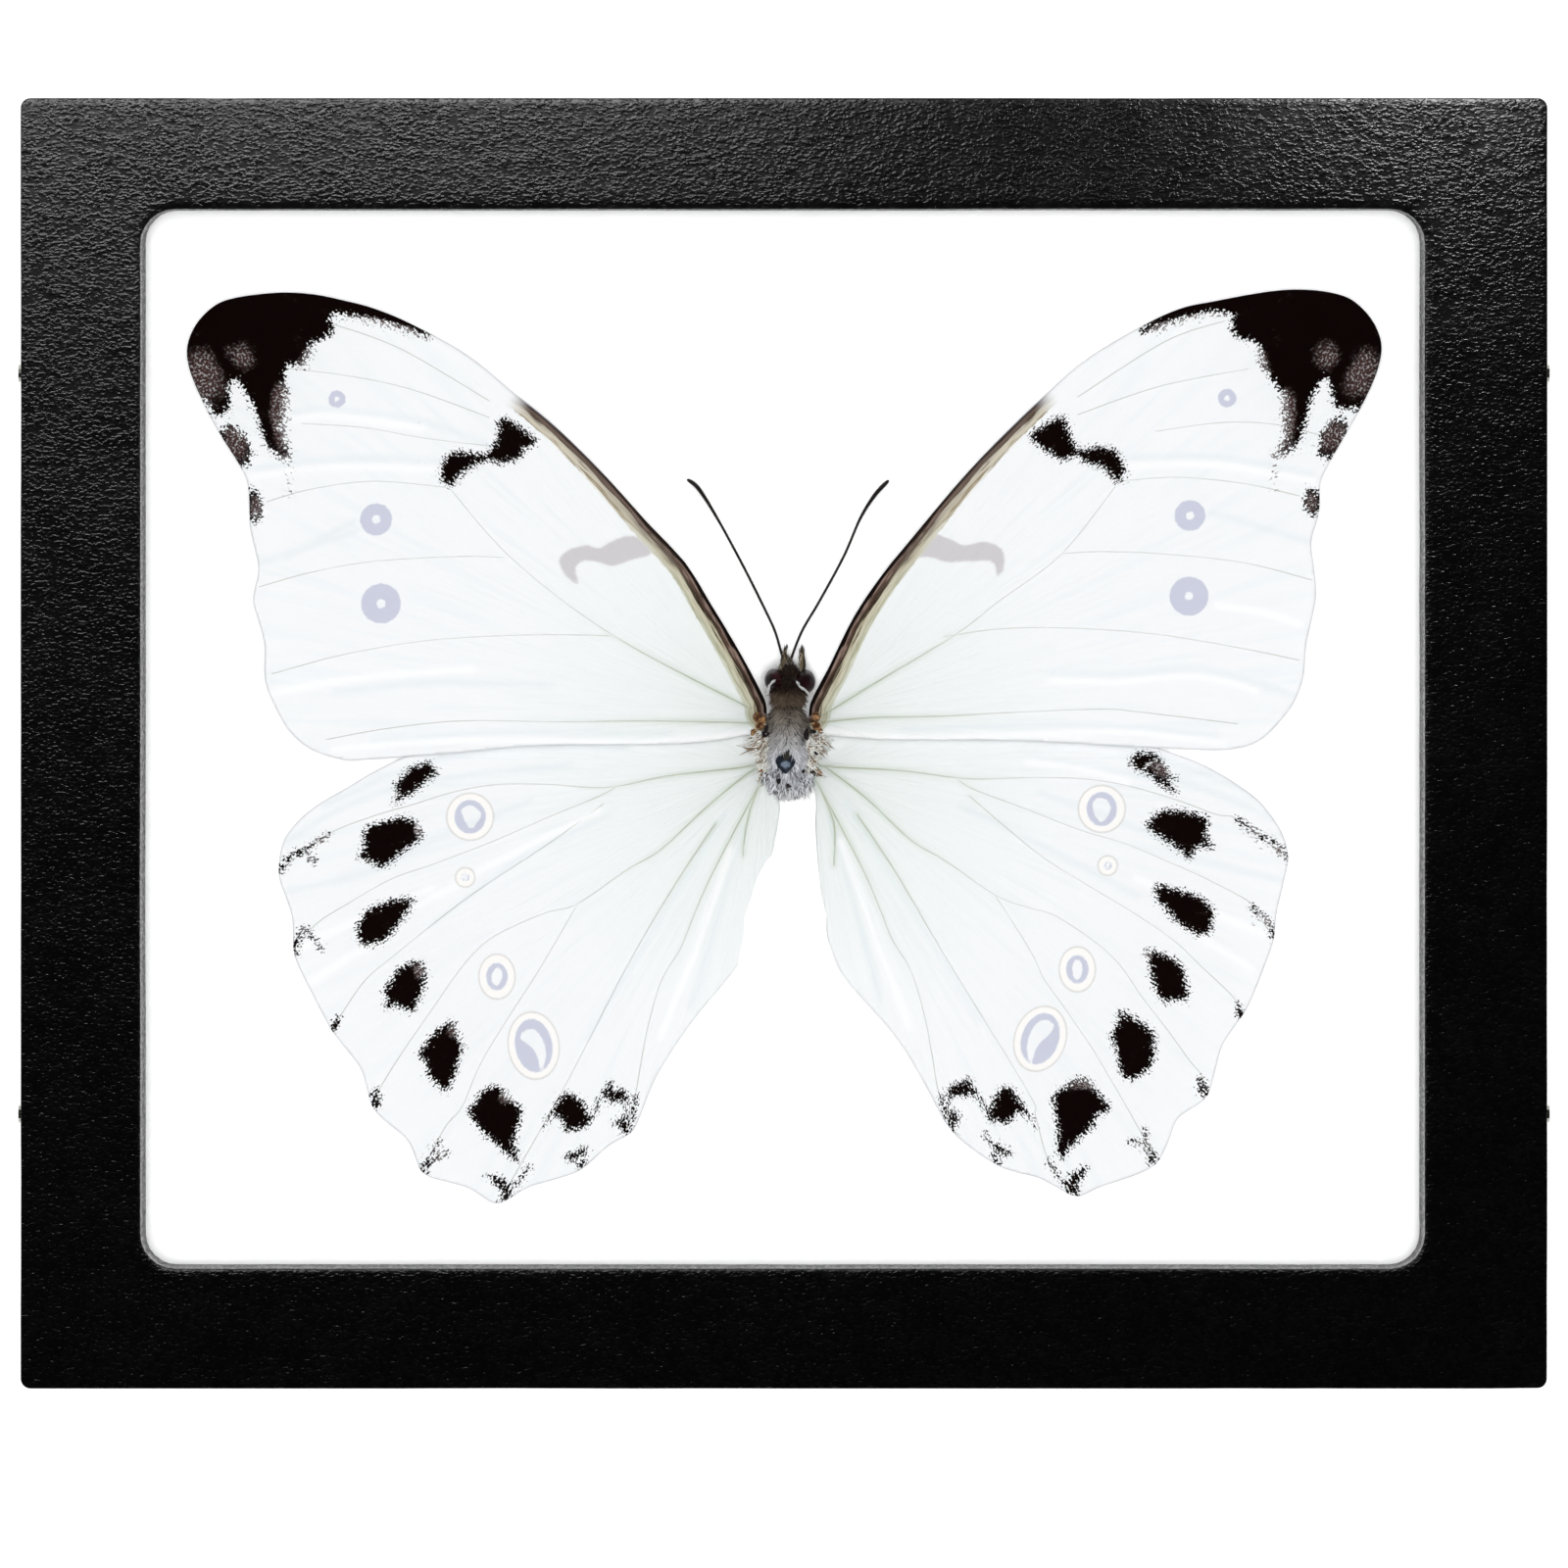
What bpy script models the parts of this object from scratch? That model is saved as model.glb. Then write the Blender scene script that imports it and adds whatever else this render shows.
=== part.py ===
"""Framed butterfly specimen: a glazed card box holding a spread white morpho on batting.

Lengths are in millimetres and become metres when a mesh is made. The box lies on its back:
+X is its long side, +Y the butterfly's head end and +Z the way out through the glass. The
origin is the middle of the tray's underside.
"""

import math

import bmesh
import bpy
from mathutils import Vector

MM = 0.001
GAP = 0.3  # left between pieces that touch in the real box

# Lid, outside
BOX_LONG = 155.8
BOX_WIDE = 131.7
BOX_DEEP = 19.0
BOARD = 1.5  # card with its paper covering
CORNER_R = 1.0
RIM_R = 0.5
SKIRT_LIFT = 2.0  # the skirt stops this far above the tray's underside
WINDOW = (131.3, 108.5)
WINDOW_CENTRE = (-0.15, 0.5)
WINDOW_R = 3.5

# Tray and glass
SLIP = 0.4  # between lid and tray, each side
GLASS_THICK = 1.5

# Batting
PADDING_TOP = 13.2
PADDING_R = 7.0
PADDING_RIM_R = 4.0
POCKET = (4.4, 8.8, 4.0)
POCKET_CENTRE = (0.4, 0.7, 12.4)

# Pins
PIN_LONG = 10.0
PIN_R = 0.35
PIN_HEAD_R = 0.9
PIN_HEAD_THICK = 0.5
PIN_LIFT = 0.15  # the head stands this far off the skirt
PIN_Y = 38.0
PIN_Z = 8.5

# Butterfly
WING_THICK = 0.3
FOREWING_TOP = 15.35
HINDWING_TOP = FOREWING_TOP - WING_THICK - 0.35
WING_DIP = 0.8  # the wings come down this far to the thorax
WING_DIP_REACH = 6.0
WING_EDGE_STEP = 2.4
WING_GRID = 5.0
BODY_X = 0.35
THORAX = (2.25, 5.05, 3.1)
THORAX_CENTRE = (BODY_X, -0.33, 12.2)
HEAD = (1.9, 1.25, 1.5)
HEAD_CENTRE = (0.6, 6.3, 13.4)
EYE = (0.9, 1.2, 1.1)
EYE_CENTRES = ((-1.13, 6.4, 13.5), (2.3, 6.4, 13.5))

FOREWING_LEFT = (
    (-2.0, 1.4), (-1.8, 4.0), (-4.8, 9.8), (-7.7, 14.6), (-10.1, 18.5), (-13.8, 22.4),
    (-18.6, 27.7), (-23.5, 32.5), (-27.6, 35.8), (-32.7, 39.9), (-39.9, 43.7), (-45.1, 45.3),
    (-50.8, 46.1), (-58.0, 44.9), (-61.0, 40.7), (-60.0, 36.2), (-57.4, 31.2), (-54.9, 26.9),
    (-54.6, 22.2), (-53.7, 17.7), (-54.3, 14.8), (-53.1, 10.2), (-53.0, 6.1), (-50.6, 1.3),
    (-48.4, -0.6), (-45.0, -1.7), (-34.3, -1.0), (-25.4, -0.2), (-9.8, 0.0), (-4.2, 0.8),
)
FOREWING_RIGHT = (
    (2.7, 1.4), (2.6, 3.9), (4.6, 7.8), (7.0, 12.7), (9.7, 16.8), (12.6, 20.4),
    (19.4, 28.4), (26.9, 35.8), (31.7, 39.8), (39.1, 43.9), (43.5, 45.1), (52.1, 46.4),
    (58.3, 45.2), (61.1, 40.7), (59.5, 35.4), (56.7, 30.4), (54.8, 26.6), (54.7, 23.6),
    (53.9, 20.7), (54.4, 15.2), (53.4, 10.3), (53.1, 6.7), (52.2, 4.3), (49.2, 0.7),
    (45.8, -0.6), (39.2, -0.5), (24.0, 0.3), (10.0, 0.4), (4.4, 0.9),
)
HINDWING_LEFT = (
    (-2.3, -3.4), (-3.0, 0.0), (-7.0, 2.8), (-19.0, 3.6), (-30.0, 2.0), (-39.6, -1.7),
    (-44.3, -4.3), (-48.7, -7.0), (-51.3, -10.2), (-51.7, -13.4), (-50.3, -17.7), (-50.1, -21.6),
    (-48.2, -25.7), (-46.1, -29.6), (-43.2, -33.4), (-42.0, -37.4), (-38.4, -40.7),
    (-37.0, -43.9), (-32.4, -45.4), (-29.2, -47.1), (-26.2, -45.4), (-21.1, -43.8),
    (-18.0, -41.2), (-15.5, -39.8), (-13.1, -34.2), (-9.5, -28.6), (-4.0, -21.6), (-2.3, -15.1),
    (-1.3, -11.8), (-0.5, -7.6), (-0.4, -6.0),
)
HINDWING_RIGHT = (
    (3.0, -3.4), (3.7, 0.0), (7.6, 2.9), (19.0, 4.0), (30.0, 2.5), (39.2, -0.8),
    (43.5, -2.5), (48.5, -5.8), (51.1, -9.5), (51.6, -11.6), (50.3, -17.7), (50.1, -20.1),
    (47.4, -27.0), (44.8, -30.9), (43.3, -36.1), (40.2, -38.4), (38.1, -43.0), (32.0, -45.5),
    (30.0, -46.4), (26.0, -44.4), (22.1, -43.3), (17.3, -39.8), (14.8, -35.6), (11.4, -30.0),
    (5.5, -23.0), (4.1, -17.4), (3.4, -11.8), (3.2, -7.6), (3.3, -6.0),
)

# Centre lines of the antennae, from the head outwards, and their radii
ANTENNA_LEFT = (
    (0.0, 8.1, 14.1), (-0.9, 11.4, 14.5), (-4.1, 18.0, 14.7), (-6.7, 22.8, 14.9),
    (-8.7, 26.0, 14.9), (-9.9, 27.0, 14.9),
)
ANTENNA_RIGHT = (
    (0.8, 8.1, 14.1), (1.9, 11.6, 14.5), (6.1, 19.1, 14.7), (7.8, 23.0, 14.9),
    (9.3, 25.5, 14.9), (10.7, 27.0, 14.9),
)
SHAFT_R = 0.1
CLUB_R = 0.2
CLUB_FROM = 0.72  # the club's share of the length begins here
ANTENNA_STEPS = 18
PALP_LEFT = ((-0.2, 7.9, 13.4), (0.0, 9.0, 13.9), (0.25, 10.0, 14.2))
PALP_RIGHT = ((1.85, 7.9, 13.4), (1.85, 8.9, 13.9), (1.8, 9.9, 14.2))
PALP_R = 0.3
PALP_STEPS = 5

# Worked out from the above
INNER_LONG = BOX_LONG - 2 * BOARD
INNER_WIDE = BOX_WIDE - 2 * BOARD
FACE_UNDER = BOX_DEEP - BOARD
GLASS_TOP = FACE_UNDER - GAP
TRAY_TOP = GLASS_TOP - GLASS_THICK - GAP
TRAY_LONG = INNER_LONG - 2 * SLIP
TRAY_WIDE = INNER_WIDE - 2 * SLIP
OVERRUN = 5.0  # a cutter runs past what it cuts


def material(name, colour, roughness, metallic=0.0, transmission=0.0):
    """A plain Principled finish."""
    finish = bpy.data.materials.new(name)
    finish.use_nodes = True
    shader = finish.node_tree.nodes["Principled BSDF"]
    shader.inputs["Base Color"].default_value = (*colour, 1.0)
    shader.inputs["Roughness"].default_value = roughness
    shader.inputs["Metallic"].default_value = metallic
    shader.inputs["Transmission Weight"].default_value = transmission
    return finish


def add_object(name, mesh_or_curve, finish=None):
    """Links new data to the scene under a node name."""
    piece = bpy.data.objects.new(name, mesh_or_curve)
    bpy.context.scene.collection.objects.link(piece)
    if finish:
        mesh_or_curve.materials.append(finish)
    return piece


def mesh_from(bm, name):
    """Turns a bmesh in millimetres into a mesh in metres."""
    bmesh.ops.scale(bm, vec=(MM, MM, MM), verts=bm.verts)
    mesh = bpy.data.meshes.new(name)
    bm.to_mesh(mesh)
    bm.free()
    return mesh


def smooth(piece, angle=35.0):
    """Shades a round piece smooth, with its corners kept."""
    piece.data.shade_smooth()
    piece.data.set_sharp_from_angle(angle=math.radians(angle))


def hide_tool(piece):
    """Marks a cutter or a joined-in shape as no piece of its own."""
    piece.hide_render = True
    piece.display_type = "WIRE"
    return piece


def boolean(piece, tool, operation="DIFFERENCE"):
    """Cuts a piece with a tool, or joins the tool to it."""
    modifier = piece.modifiers.new(tool.name, "BOOLEAN")
    modifier.operation = operation
    modifier.object = tool


def slab(name, size, low, high, radius, centre=(0.0, 0.0), rim=0.0, finish=None):
    """An upright block with rounded corners, and a rounded upper rim if it has one."""
    bm = bmesh.new()
    bmesh.ops.create_cube(bm, size=1.0)
    bmesh.ops.scale(bm, vec=(size[0], size[1], high - low), verts=bm.verts)
    bmesh.ops.translate(bm, vec=(*centre, (low + high) / 2), verts=bm.verts)
    if radius:
        upright = [e for e in bm.edges if abs(e.verts[0].co.z - e.verts[1].co.z) > GAP]
        bmesh.ops.bevel(bm, geom=upright, offset=radius, segments=4, profile=0.5,
                        affect="EDGES", material=-1)
    if rim:
        upper = [e for e in bm.edges if min(v.co.z for v in e.verts) > high - GAP / 10]
        bmesh.ops.bevel(bm, geom=upper, offset=rim, segments=3, profile=0.5,
                        affect="EDGES", material=-1)
    return add_object(name, mesh_from(bm, name), finish)


def ball(name, radii, centre, around=16, rings=10, finish=None):
    """An ellipsoid with its poles along Y."""
    bm = bmesh.new()
    bmesh.ops.create_uvsphere(bm, u_segments=around, v_segments=rings, radius=1.0)
    turn = Vector((0, 0, 1)).rotation_difference(Vector((0, 1, 0))).to_matrix()
    bmesh.ops.rotate(bm, cent=(0, 0, 0), matrix=turn, verts=bm.verts)
    bmesh.ops.scale(bm, vec=radii, verts=bm.verts)
    bmesh.ops.translate(bm, vec=centre, verts=bm.verts)
    piece = add_object(name, mesh_from(bm, name), finish)
    smooth(piece, 60.0)
    return piece


def pin_holes():
    """Four square-ended holes on the pins' lines, through skirt, tray and batting."""
    holes = []
    for side in (-1, 1):
        for row in (-1, 1):
            bm = bmesh.new()
            turn = Vector((0, 0, 1)).rotation_difference(Vector((1, 0, 0))).to_matrix()
            bmesh.ops.create_cone(bm, cap_ends=True, segments=12, depth=2 * (PIN_LONG + GAP),
                                  radius1=PIN_R + GAP, radius2=PIN_R + GAP)
            bmesh.ops.rotate(bm, cent=(0, 0, 0), matrix=turn, verts=bm.verts)
            bmesh.ops.translate(bm, vec=(side * BOX_LONG / 2, row * PIN_Y, PIN_Z),
                                verts=bm.verts)
            name = f"pin_hole_{side}_{row}"
            holes.append(hide_tool(add_object(name, mesh_from(bm, name))))
    return holes


def make_lid(holes):
    """The covered card lid: a window frame with a skirt on four sides."""
    lid = slab("lid", (BOX_LONG, BOX_WIDE), SKIRT_LIFT, BOX_DEEP, CORNER_R, rim=RIM_R,
               finish=material("black paper", (0.012, 0.012, 0.014), 0.45))
    inside = slab("lid_inside", (INNER_LONG, INNER_WIDE), SKIRT_LIFT - OVERRUN, FACE_UNDER, 0.0)
    window = slab("lid_window", WINDOW, FACE_UNDER - OVERRUN, BOX_DEEP + OVERRUN, WINDOW_R,
                  centre=WINDOW_CENTRE)
    for tool in (inside, window, *holes):
        boolean(lid, hide_tool(tool))


def make_tray(holes):
    """The card tray that slides into the lid."""
    tray = slab("tray", (TRAY_LONG, TRAY_WIDE), 0.0, TRAY_TOP, 0.0,
                finish=material("tray board", (0.02, 0.02, 0.022), 0.6))
    inside = slab("tray_inside", (TRAY_LONG - 2 * BOARD, TRAY_WIDE - 2 * BOARD), BOARD,
                  TRAY_TOP + OVERRUN, 0.0)
    for tool in (inside, *holes):
        boolean(tray, hide_tool(tool))


def make_glass():
    """The pane behind the window."""
    slab("glass", (INNER_LONG - 2 * GAP, INNER_WIDE - 2 * GAP), GLASS_TOP - GLASS_THICK,
         GLASS_TOP, 0.0, finish=material("clear glass", (1.0, 1.0, 1.0), 0.02, transmission=1.0))


def make_padding(holes):
    """The batting, with the hollow that the insect's body presses into it."""
    hollow = 2 * (BOARD + GAP)
    padding = slab("padding", (TRAY_LONG - hollow, TRAY_WIDE - hollow), BOARD + GAP,
                   PADDING_TOP, PADDING_R, rim=PADDING_RIM_R,
                   finish=material("white batting", (0.9, 0.9, 0.9), 0.9))
    pocket = ball("padding_pocket", POCKET, POCKET_CENTRE, around=24, rings=16)
    for tool in (pocket, *holes):
        boolean(padding, hide_tool(tool))


def make_pins():
    """Straight pins with flat heads, pushed in from the short sides."""
    steel = material("pin steel", (0.75, 0.72, 0.62), 0.25, metallic=1.0)
    point = 3 * PIN_R
    outer = PIN_LIFT + PIN_HEAD_THICK
    profile = ((outer, 0.0), (outer, PIN_HEAD_R), (PIN_LIFT, PIN_HEAD_R), (PIN_LIFT, PIN_R),
               (point - PIN_LONG, PIN_R), (-PIN_LONG, 0.0))
    for side, side_name in ((-1, "left"), (1, "right")):
        for row, row_name in ((1, "upper"), (-1, "lower")):
            bm = bmesh.new()
            line = [bm.verts.new((along, radius, 0.0)) for along, radius in profile]
            edges = [bm.edges.new(pair) for pair in zip(line, line[1:])]
            bmesh.ops.spin(bm, geom=line + edges, cent=(0, 0, 0), axis=(1, 0, 0),
                           angle=math.tau, steps=12, use_merge=True)
            bmesh.ops.remove_doubles(bm, verts=bm.verts, dist=MM)
            bmesh.ops.scale(bm, vec=(side, 1, 1), verts=bm.verts)
            bmesh.ops.translate(bm, vec=(side * BOX_LONG / 2, row * PIN_Y, PIN_Z),
                                verts=bm.verts)
            bmesh.ops.recalc_face_normals(bm, faces=bm.faces)
            name = f"pin_{side_name}_{row_name}"
            smooth(add_object(name, mesh_from(bm, name), steel))


def between(before, start, end, after, share):
    """A point on the smooth curve from start to end (Catmull-Rom)."""
    return 0.5 * (2 * start + (end - before) * share
                  + (2 * before - 5 * start + 4 * end - after) * share ** 2
                  + (3 * start - before - 3 * end + after) * share ** 3)


def smooth_outline(points):
    """A closed outline through the points, with a vertex about every WING_EDGE_STEP."""
    points = [Vector(p) for p in points]
    count = len(points)
    outline = []
    for i, start in enumerate(points):
        end = points[(i + 1) % count]
        steps = max(1, round((end - start).length / WING_EDGE_STEP))
        for k in range(steps):
            outline.append(between(points[i - 1], start, end, points[(i + 2) % count],
                                   k / steps))
    return outline


def wing_drop(x):
    """How far a wing has come down at this distance from the thorax."""
    return WING_DIP * math.exp(-(((x - BODY_X) / WING_DIP_REACH) ** 2))


def make_wing(name, points, top, finish):
    """A thin plate that lies flat and dips to the thorax at its root."""
    bm = bmesh.new()
    bm.faces.new([bm.verts.new((p.x, p.y, 0.0)) for p in smooth_outline(points)])
    for axis in (0, 1):
        ends = [v.co[axis] for v in bm.verts]
        cut = math.ceil(min(ends) / WING_GRID) * WING_GRID
        while cut < max(ends):
            place = Vector((0, 0, 0))
            place[axis] = cut
            normal = Vector((0, 0, 0))
            normal[axis] = 1
            bmesh.ops.bisect_plane(bm, geom=bm.verts[:] + bm.edges[:] + bm.faces[:],
                                   dist=MM, plane_co=place, plane_no=normal)
            cut += WING_GRID
    bmesh.ops.dissolve_degenerate(bm, dist=0.05, edges=bm.edges)
    bmesh.ops.triangulate(bm, faces=bm.faces)
    for vertex in bm.verts:
        vertex.co.z = top - wing_drop(vertex.co.x)
    bmesh.ops.recalc_face_normals(bm, faces=bm.faces)
    if sum(face.normal.z for face in bm.faces) < 0:
        bmesh.ops.reverse_faces(bm, faces=bm.faces)
    wing = add_object(name, mesh_from(bm, name), finish)
    thickness = wing.modifiers.new("thickness", "SOLIDIFY")
    thickness.thickness = WING_THICK * MM
    thickness.offset = -1


def make_strand(name, points, steps, radius_at, finish):
    """A tapered tube through a few points; radius_at gives its radius along its length."""
    points = [Vector(p) for p in points]
    points = [2 * points[0] - points[1], *points, 2 * points[-1] - points[-2]]
    runs = len(points) - 3
    curve = bpy.data.curves.new(name, "CURVE")
    curve.dimensions = "3D"
    curve.bevel_depth = MM
    curve.bevel_resolution = 2
    curve.use_fill_caps = True
    spline = curve.splines.new("POLY")
    spline.points.add(steps)
    for k, target in enumerate(spline.points):
        place = min(k / steps * runs, runs - MM)
        i = int(place)
        target.co = (*(between(*points[i:i + 4], place - i) * MM), 1.0)
        target.radius = radius_at(k / steps)
    add_object(name, curve, finish)


def antenna_radius(share):
    """A thin shaft that swells into a slender club with a blunt tip."""
    if share < CLUB_FROM:
        return SHAFT_R
    club = (share - CLUB_FROM) / (1 - CLUB_FROM)
    return SHAFT_R + (CLUB_R - SHAFT_R) * math.sin(math.pi * min(club * 0.62, 0.6))


def palp_radius(share):
    """A spindle, fullest near its root."""
    return PALP_R * (0.25 + 0.75 * math.sin(math.pi * (0.15 + 0.8 * share)))


def make_butterfly():
    """The body, the head with its eyes and feelers, and the four wings."""
    white = material("wing white", (0.92, 0.93, 0.94), 0.5)
    grey = material("thorax down", (0.22, 0.23, 0.24), 0.9)
    dark = material("head", (0.02, 0.013, 0.012), 0.3)
    black = material("feeler black", (0.006, 0.005, 0.005), 0.4)
    cream = material("palp", (0.55, 0.5, 0.42), 0.8)

    make_wing("forewing_left", FOREWING_LEFT, FOREWING_TOP, white)
    make_wing("forewing_right", FOREWING_RIGHT, FOREWING_TOP, white)
    make_wing("hindwing_left", HINDWING_LEFT, HINDWING_TOP, white)
    make_wing("hindwing_right", HINDWING_RIGHT, HINDWING_TOP, white)

    ball("thorax", THORAX, THORAX_CENTRE, around=20, rings=14, finish=grey)
    head = ball("head", HEAD, HEAD_CENTRE, finish=dark)
    for side, centre in zip(("left", "right"), EYE_CENTRES):
        boolean(head, hide_tool(ball(f"eye_{side}", EYE, centre, 12, 8)), "UNION")

    make_strand("antenna_left", ANTENNA_LEFT, ANTENNA_STEPS, antenna_radius, black)
    make_strand("antenna_right", ANTENNA_RIGHT, ANTENNA_STEPS, antenna_radius, black)
    make_strand("palp_left", PALP_LEFT, PALP_STEPS, palp_radius, cream)
    make_strand("palp_right", PALP_RIGHT, PALP_STEPS, palp_radius, cream)


def main():
    for old in list(bpy.data.objects):
        bpy.data.objects.remove(old)
    holes = pin_holes()
    make_lid(holes)
    make_tray(holes)
    make_glass()
    make_padding(holes)
    make_pins()
    make_butterfly()


main()
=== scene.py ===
import math

import bmesh
import bpy
import numpy as np
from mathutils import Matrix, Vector, noise


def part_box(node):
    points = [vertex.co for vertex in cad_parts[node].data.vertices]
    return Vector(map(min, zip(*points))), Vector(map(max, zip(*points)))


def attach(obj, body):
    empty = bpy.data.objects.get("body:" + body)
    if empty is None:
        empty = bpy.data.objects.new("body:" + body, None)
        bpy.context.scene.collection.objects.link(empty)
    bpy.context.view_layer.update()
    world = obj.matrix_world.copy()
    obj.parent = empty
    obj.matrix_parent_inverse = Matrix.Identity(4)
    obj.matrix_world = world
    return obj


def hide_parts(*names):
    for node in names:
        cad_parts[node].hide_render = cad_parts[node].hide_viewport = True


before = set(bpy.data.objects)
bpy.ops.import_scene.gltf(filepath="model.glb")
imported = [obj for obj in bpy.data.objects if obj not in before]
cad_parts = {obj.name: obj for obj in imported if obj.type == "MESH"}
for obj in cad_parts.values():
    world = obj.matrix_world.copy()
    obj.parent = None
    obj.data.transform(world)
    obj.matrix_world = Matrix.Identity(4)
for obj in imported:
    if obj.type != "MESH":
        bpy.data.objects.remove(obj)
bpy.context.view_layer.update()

# Camera and table. The box lies on its back on a pale table and is seen from straight above,
# through a long lens, with a strip of table showing below its lower edge.
MM = 0.001  # lengths in this script are millimetres, and a mesh is scaled to metres last
VIEW_HEIGHT = 1800.0
VIEW_ACROSS = 160.0
VIEW_CENTRE = (0.0, -4.15)
LID_LOW, LID_HIGH = (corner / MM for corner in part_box("lid"))

camera = bpy.data.objects.new("camera", bpy.data.cameras.new("camera"))
bpy.context.scene.collection.objects.link(camera)
camera.location = Vector((*VIEW_CENTRE, LID_HIGH.z + VIEW_HEIGHT)) * MM
camera.data.lens = camera.data.sensor_width * VIEW_HEIGHT / VIEW_ACROSS
camera.data.clip_start = 0.01
bpy.context.scene.camera = camera


class Value:
    """A number that varies over a surface. Arithmetic on it adds Math nodes."""

    def __init__(self, tree, socket):
        self.tree = tree
        self.socket = socket

    def math(self, operation, first, second):
        """The Math node that joins two numbers or sockets."""
        node = self.tree.nodes.new("ShaderNodeMath")
        node.operation = operation
        for slot, given in zip(node.inputs, (first, second)):
            if isinstance(given, Value):
                self.tree.links.new(given.socket, slot)
            else:
                slot.default_value = given
        return Value(self.tree, node.outputs[0])

    def __add__(self, other):
        return self.math("ADD", self, other)

    def __radd__(self, other):
        return self.math("ADD", other, self)

    def __sub__(self, other):
        return self.math("SUBTRACT", self, other)

    def __rsub__(self, other):
        return self.math("SUBTRACT", other, self)

    def __mul__(self, other):
        return self.math("MULTIPLY", self, other)

    def __rmul__(self, other):
        return self.math("MULTIPLY", other, self)

    def most(self, other):
        """The larger of two numbers."""
        return self.math("MAXIMUM", self, other)


class Finish:
    """A material with a Principled shader, whose other nodes are added by name."""

    def __init__(self, name, **fixed):
        self.material = bpy.data.materials.new(name)
        self.material.use_nodes = True
        self.tree = self.material.node_tree
        self.shader = self.tree.nodes["Principled BSDF"]
        self.place = self.node("ShaderNodeTexCoord", output="Object")
        for socket, number in fixed.items():
            self.shader.inputs[socket.replace("_", " ")].default_value = number

    def node(self, kind, settings=None, inputs=None, output=0):
        """Adds one node: its settings, then its sockets' values or links."""
        made = self.tree.nodes.new(kind)
        for key, setting in (settings or {}).items():
            if key == "stops":
                ramp = made.color_ramp.elements
                while len(ramp) < len(setting):
                    ramp.new(1.0)
                for stop, (position, colour) in zip(ramp, setting):
                    stop.position = position
                    stop.color = colour
            else:
                setattr(made, key, setting)
        for key, given in (inputs or {}).items():
            if isinstance(given, Value):
                self.tree.links.new(given.socket, made.inputs[key])
            else:
                made.inputs[key].default_value = given
        return Value(self.tree, made.outputs[output])

    def attribute(self, name):
        """A number stored on the mesh's points."""
        return self.node("ShaderNodeAttribute", {"attribute_name": name}, output="Fac")

    def step(self, value, low, high):
        """0 below low and 1 above high, smooth between them; low may be above high."""
        return self.node("ShaderNodeMapRange", {"interpolation_type": "SMOOTHSTEP"},
                         {"Value": value, "From Min": low, "From Max": high}, "Result")

    def turned(self, angle=0.0, stretch=(1.0, 1.0, 1.0)):
        """Object coordinates turned about Z, for a pattern with a direction."""
        return self.node("ShaderNodeMapping", {},
                         {"Vector": self.place, "Rotation": (0.0, 0.0, -angle),
                          "Scale": stretch})

    def grain(self, size, detail=3.0, place=None, rough=0.5):
        """Noise from 0 to 1 whose lumps are about size millimetres across."""
        return self.node("ShaderNodeTexNoise", {},
                         {"Vector": place or self.place, "Scale": 1.0 / (size * MM),
                          "Detail": detail, "Roughness": rough})

    def mix(self, factor, below, above):
        """The colour above laid over the colour below by a factor."""
        node = self.tree.nodes.new("ShaderNodeMix")
        node.data_type = "RGBA"
        for slot, given in ((0, factor), (6, below), (7, above)):
            if isinstance(given, Value):
                self.tree.links.new(given.socket, node.inputs[slot])
            elif slot:
                node.inputs[slot].default_value = (*given, 1.0)
            else:
                node.inputs[slot].default_value = given
        return Value(self.tree, node.outputs[2])

    def set(self, **driven):
        """Drives the shader's sockets with values."""
        for socket, value in driven.items():
            self.tree.links.new(value.socket, self.shader.inputs[socket.replace("_", " ")])

    def bump(self, height, depth, under=None):
        """A bump of depth millimetres for a height from 0 to 1."""
        inputs = {"Height": height, "Distance": depth * MM}
        if under:
            inputs["Normal"] = under
        return self.node("ShaderNodeBump", {}, inputs)


def to_object(bm, name, finishes, body="root"):
    """Turns a bmesh in millimetres into a piece that rides on a body."""
    bmesh.ops.scale(bm, vec=(MM, MM, MM), verts=bm.verts)
    mesh = bpy.data.meshes.new(name)
    bm.to_mesh(mesh)
    bm.free()
    piece = bpy.data.objects.new(name, mesh)
    bpy.context.scene.collection.objects.link(piece)
    for finish in finishes:
        mesh.materials.append(finish.material)
    if body:
        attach(piece, body)
    return piece


TABLE_HALF = 3000.0
TABLE_GAP = 0.03  # the table lies this far under the tray, so that they share no plane
TABLE_MOTTLE = 400.0
bm = bmesh.new()
bmesh.ops.create_grid(bm, x_segments=1, y_segments=1, size=TABLE_HALF)
bmesh.ops.translate(bm, vec=(0, 0, -TABLE_GAP), verts=bm.verts)
table_paper = Finish("table paper", Roughness=0.8, Specular_IOR_Level=0.1,
                     Emission_Strength=0.55)
pale = table_paper.mix(table_paper.grain(TABLE_MOTTLE), (0.88, 0.88, 0.88), (0.90, 0.90, 0.90))
table_paper.set(Base_Color=pale, Emission_Color=pale)
table = to_object(bm, "table", [table_paper], body=None)


# Light. Soft suns overhead and round the box light it evenly. Two strip lamps beyond the head
# end give the lid's grained paper its gloss, and shine on the lid only, so that the pane shows
# no lamp in it.
def aim(lamp, direction):
    """Turns a lamp to shine along a direction."""
    lamp.rotation_euler = Vector(direction).to_track_quat("-Z", "Y").to_euler()


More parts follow.
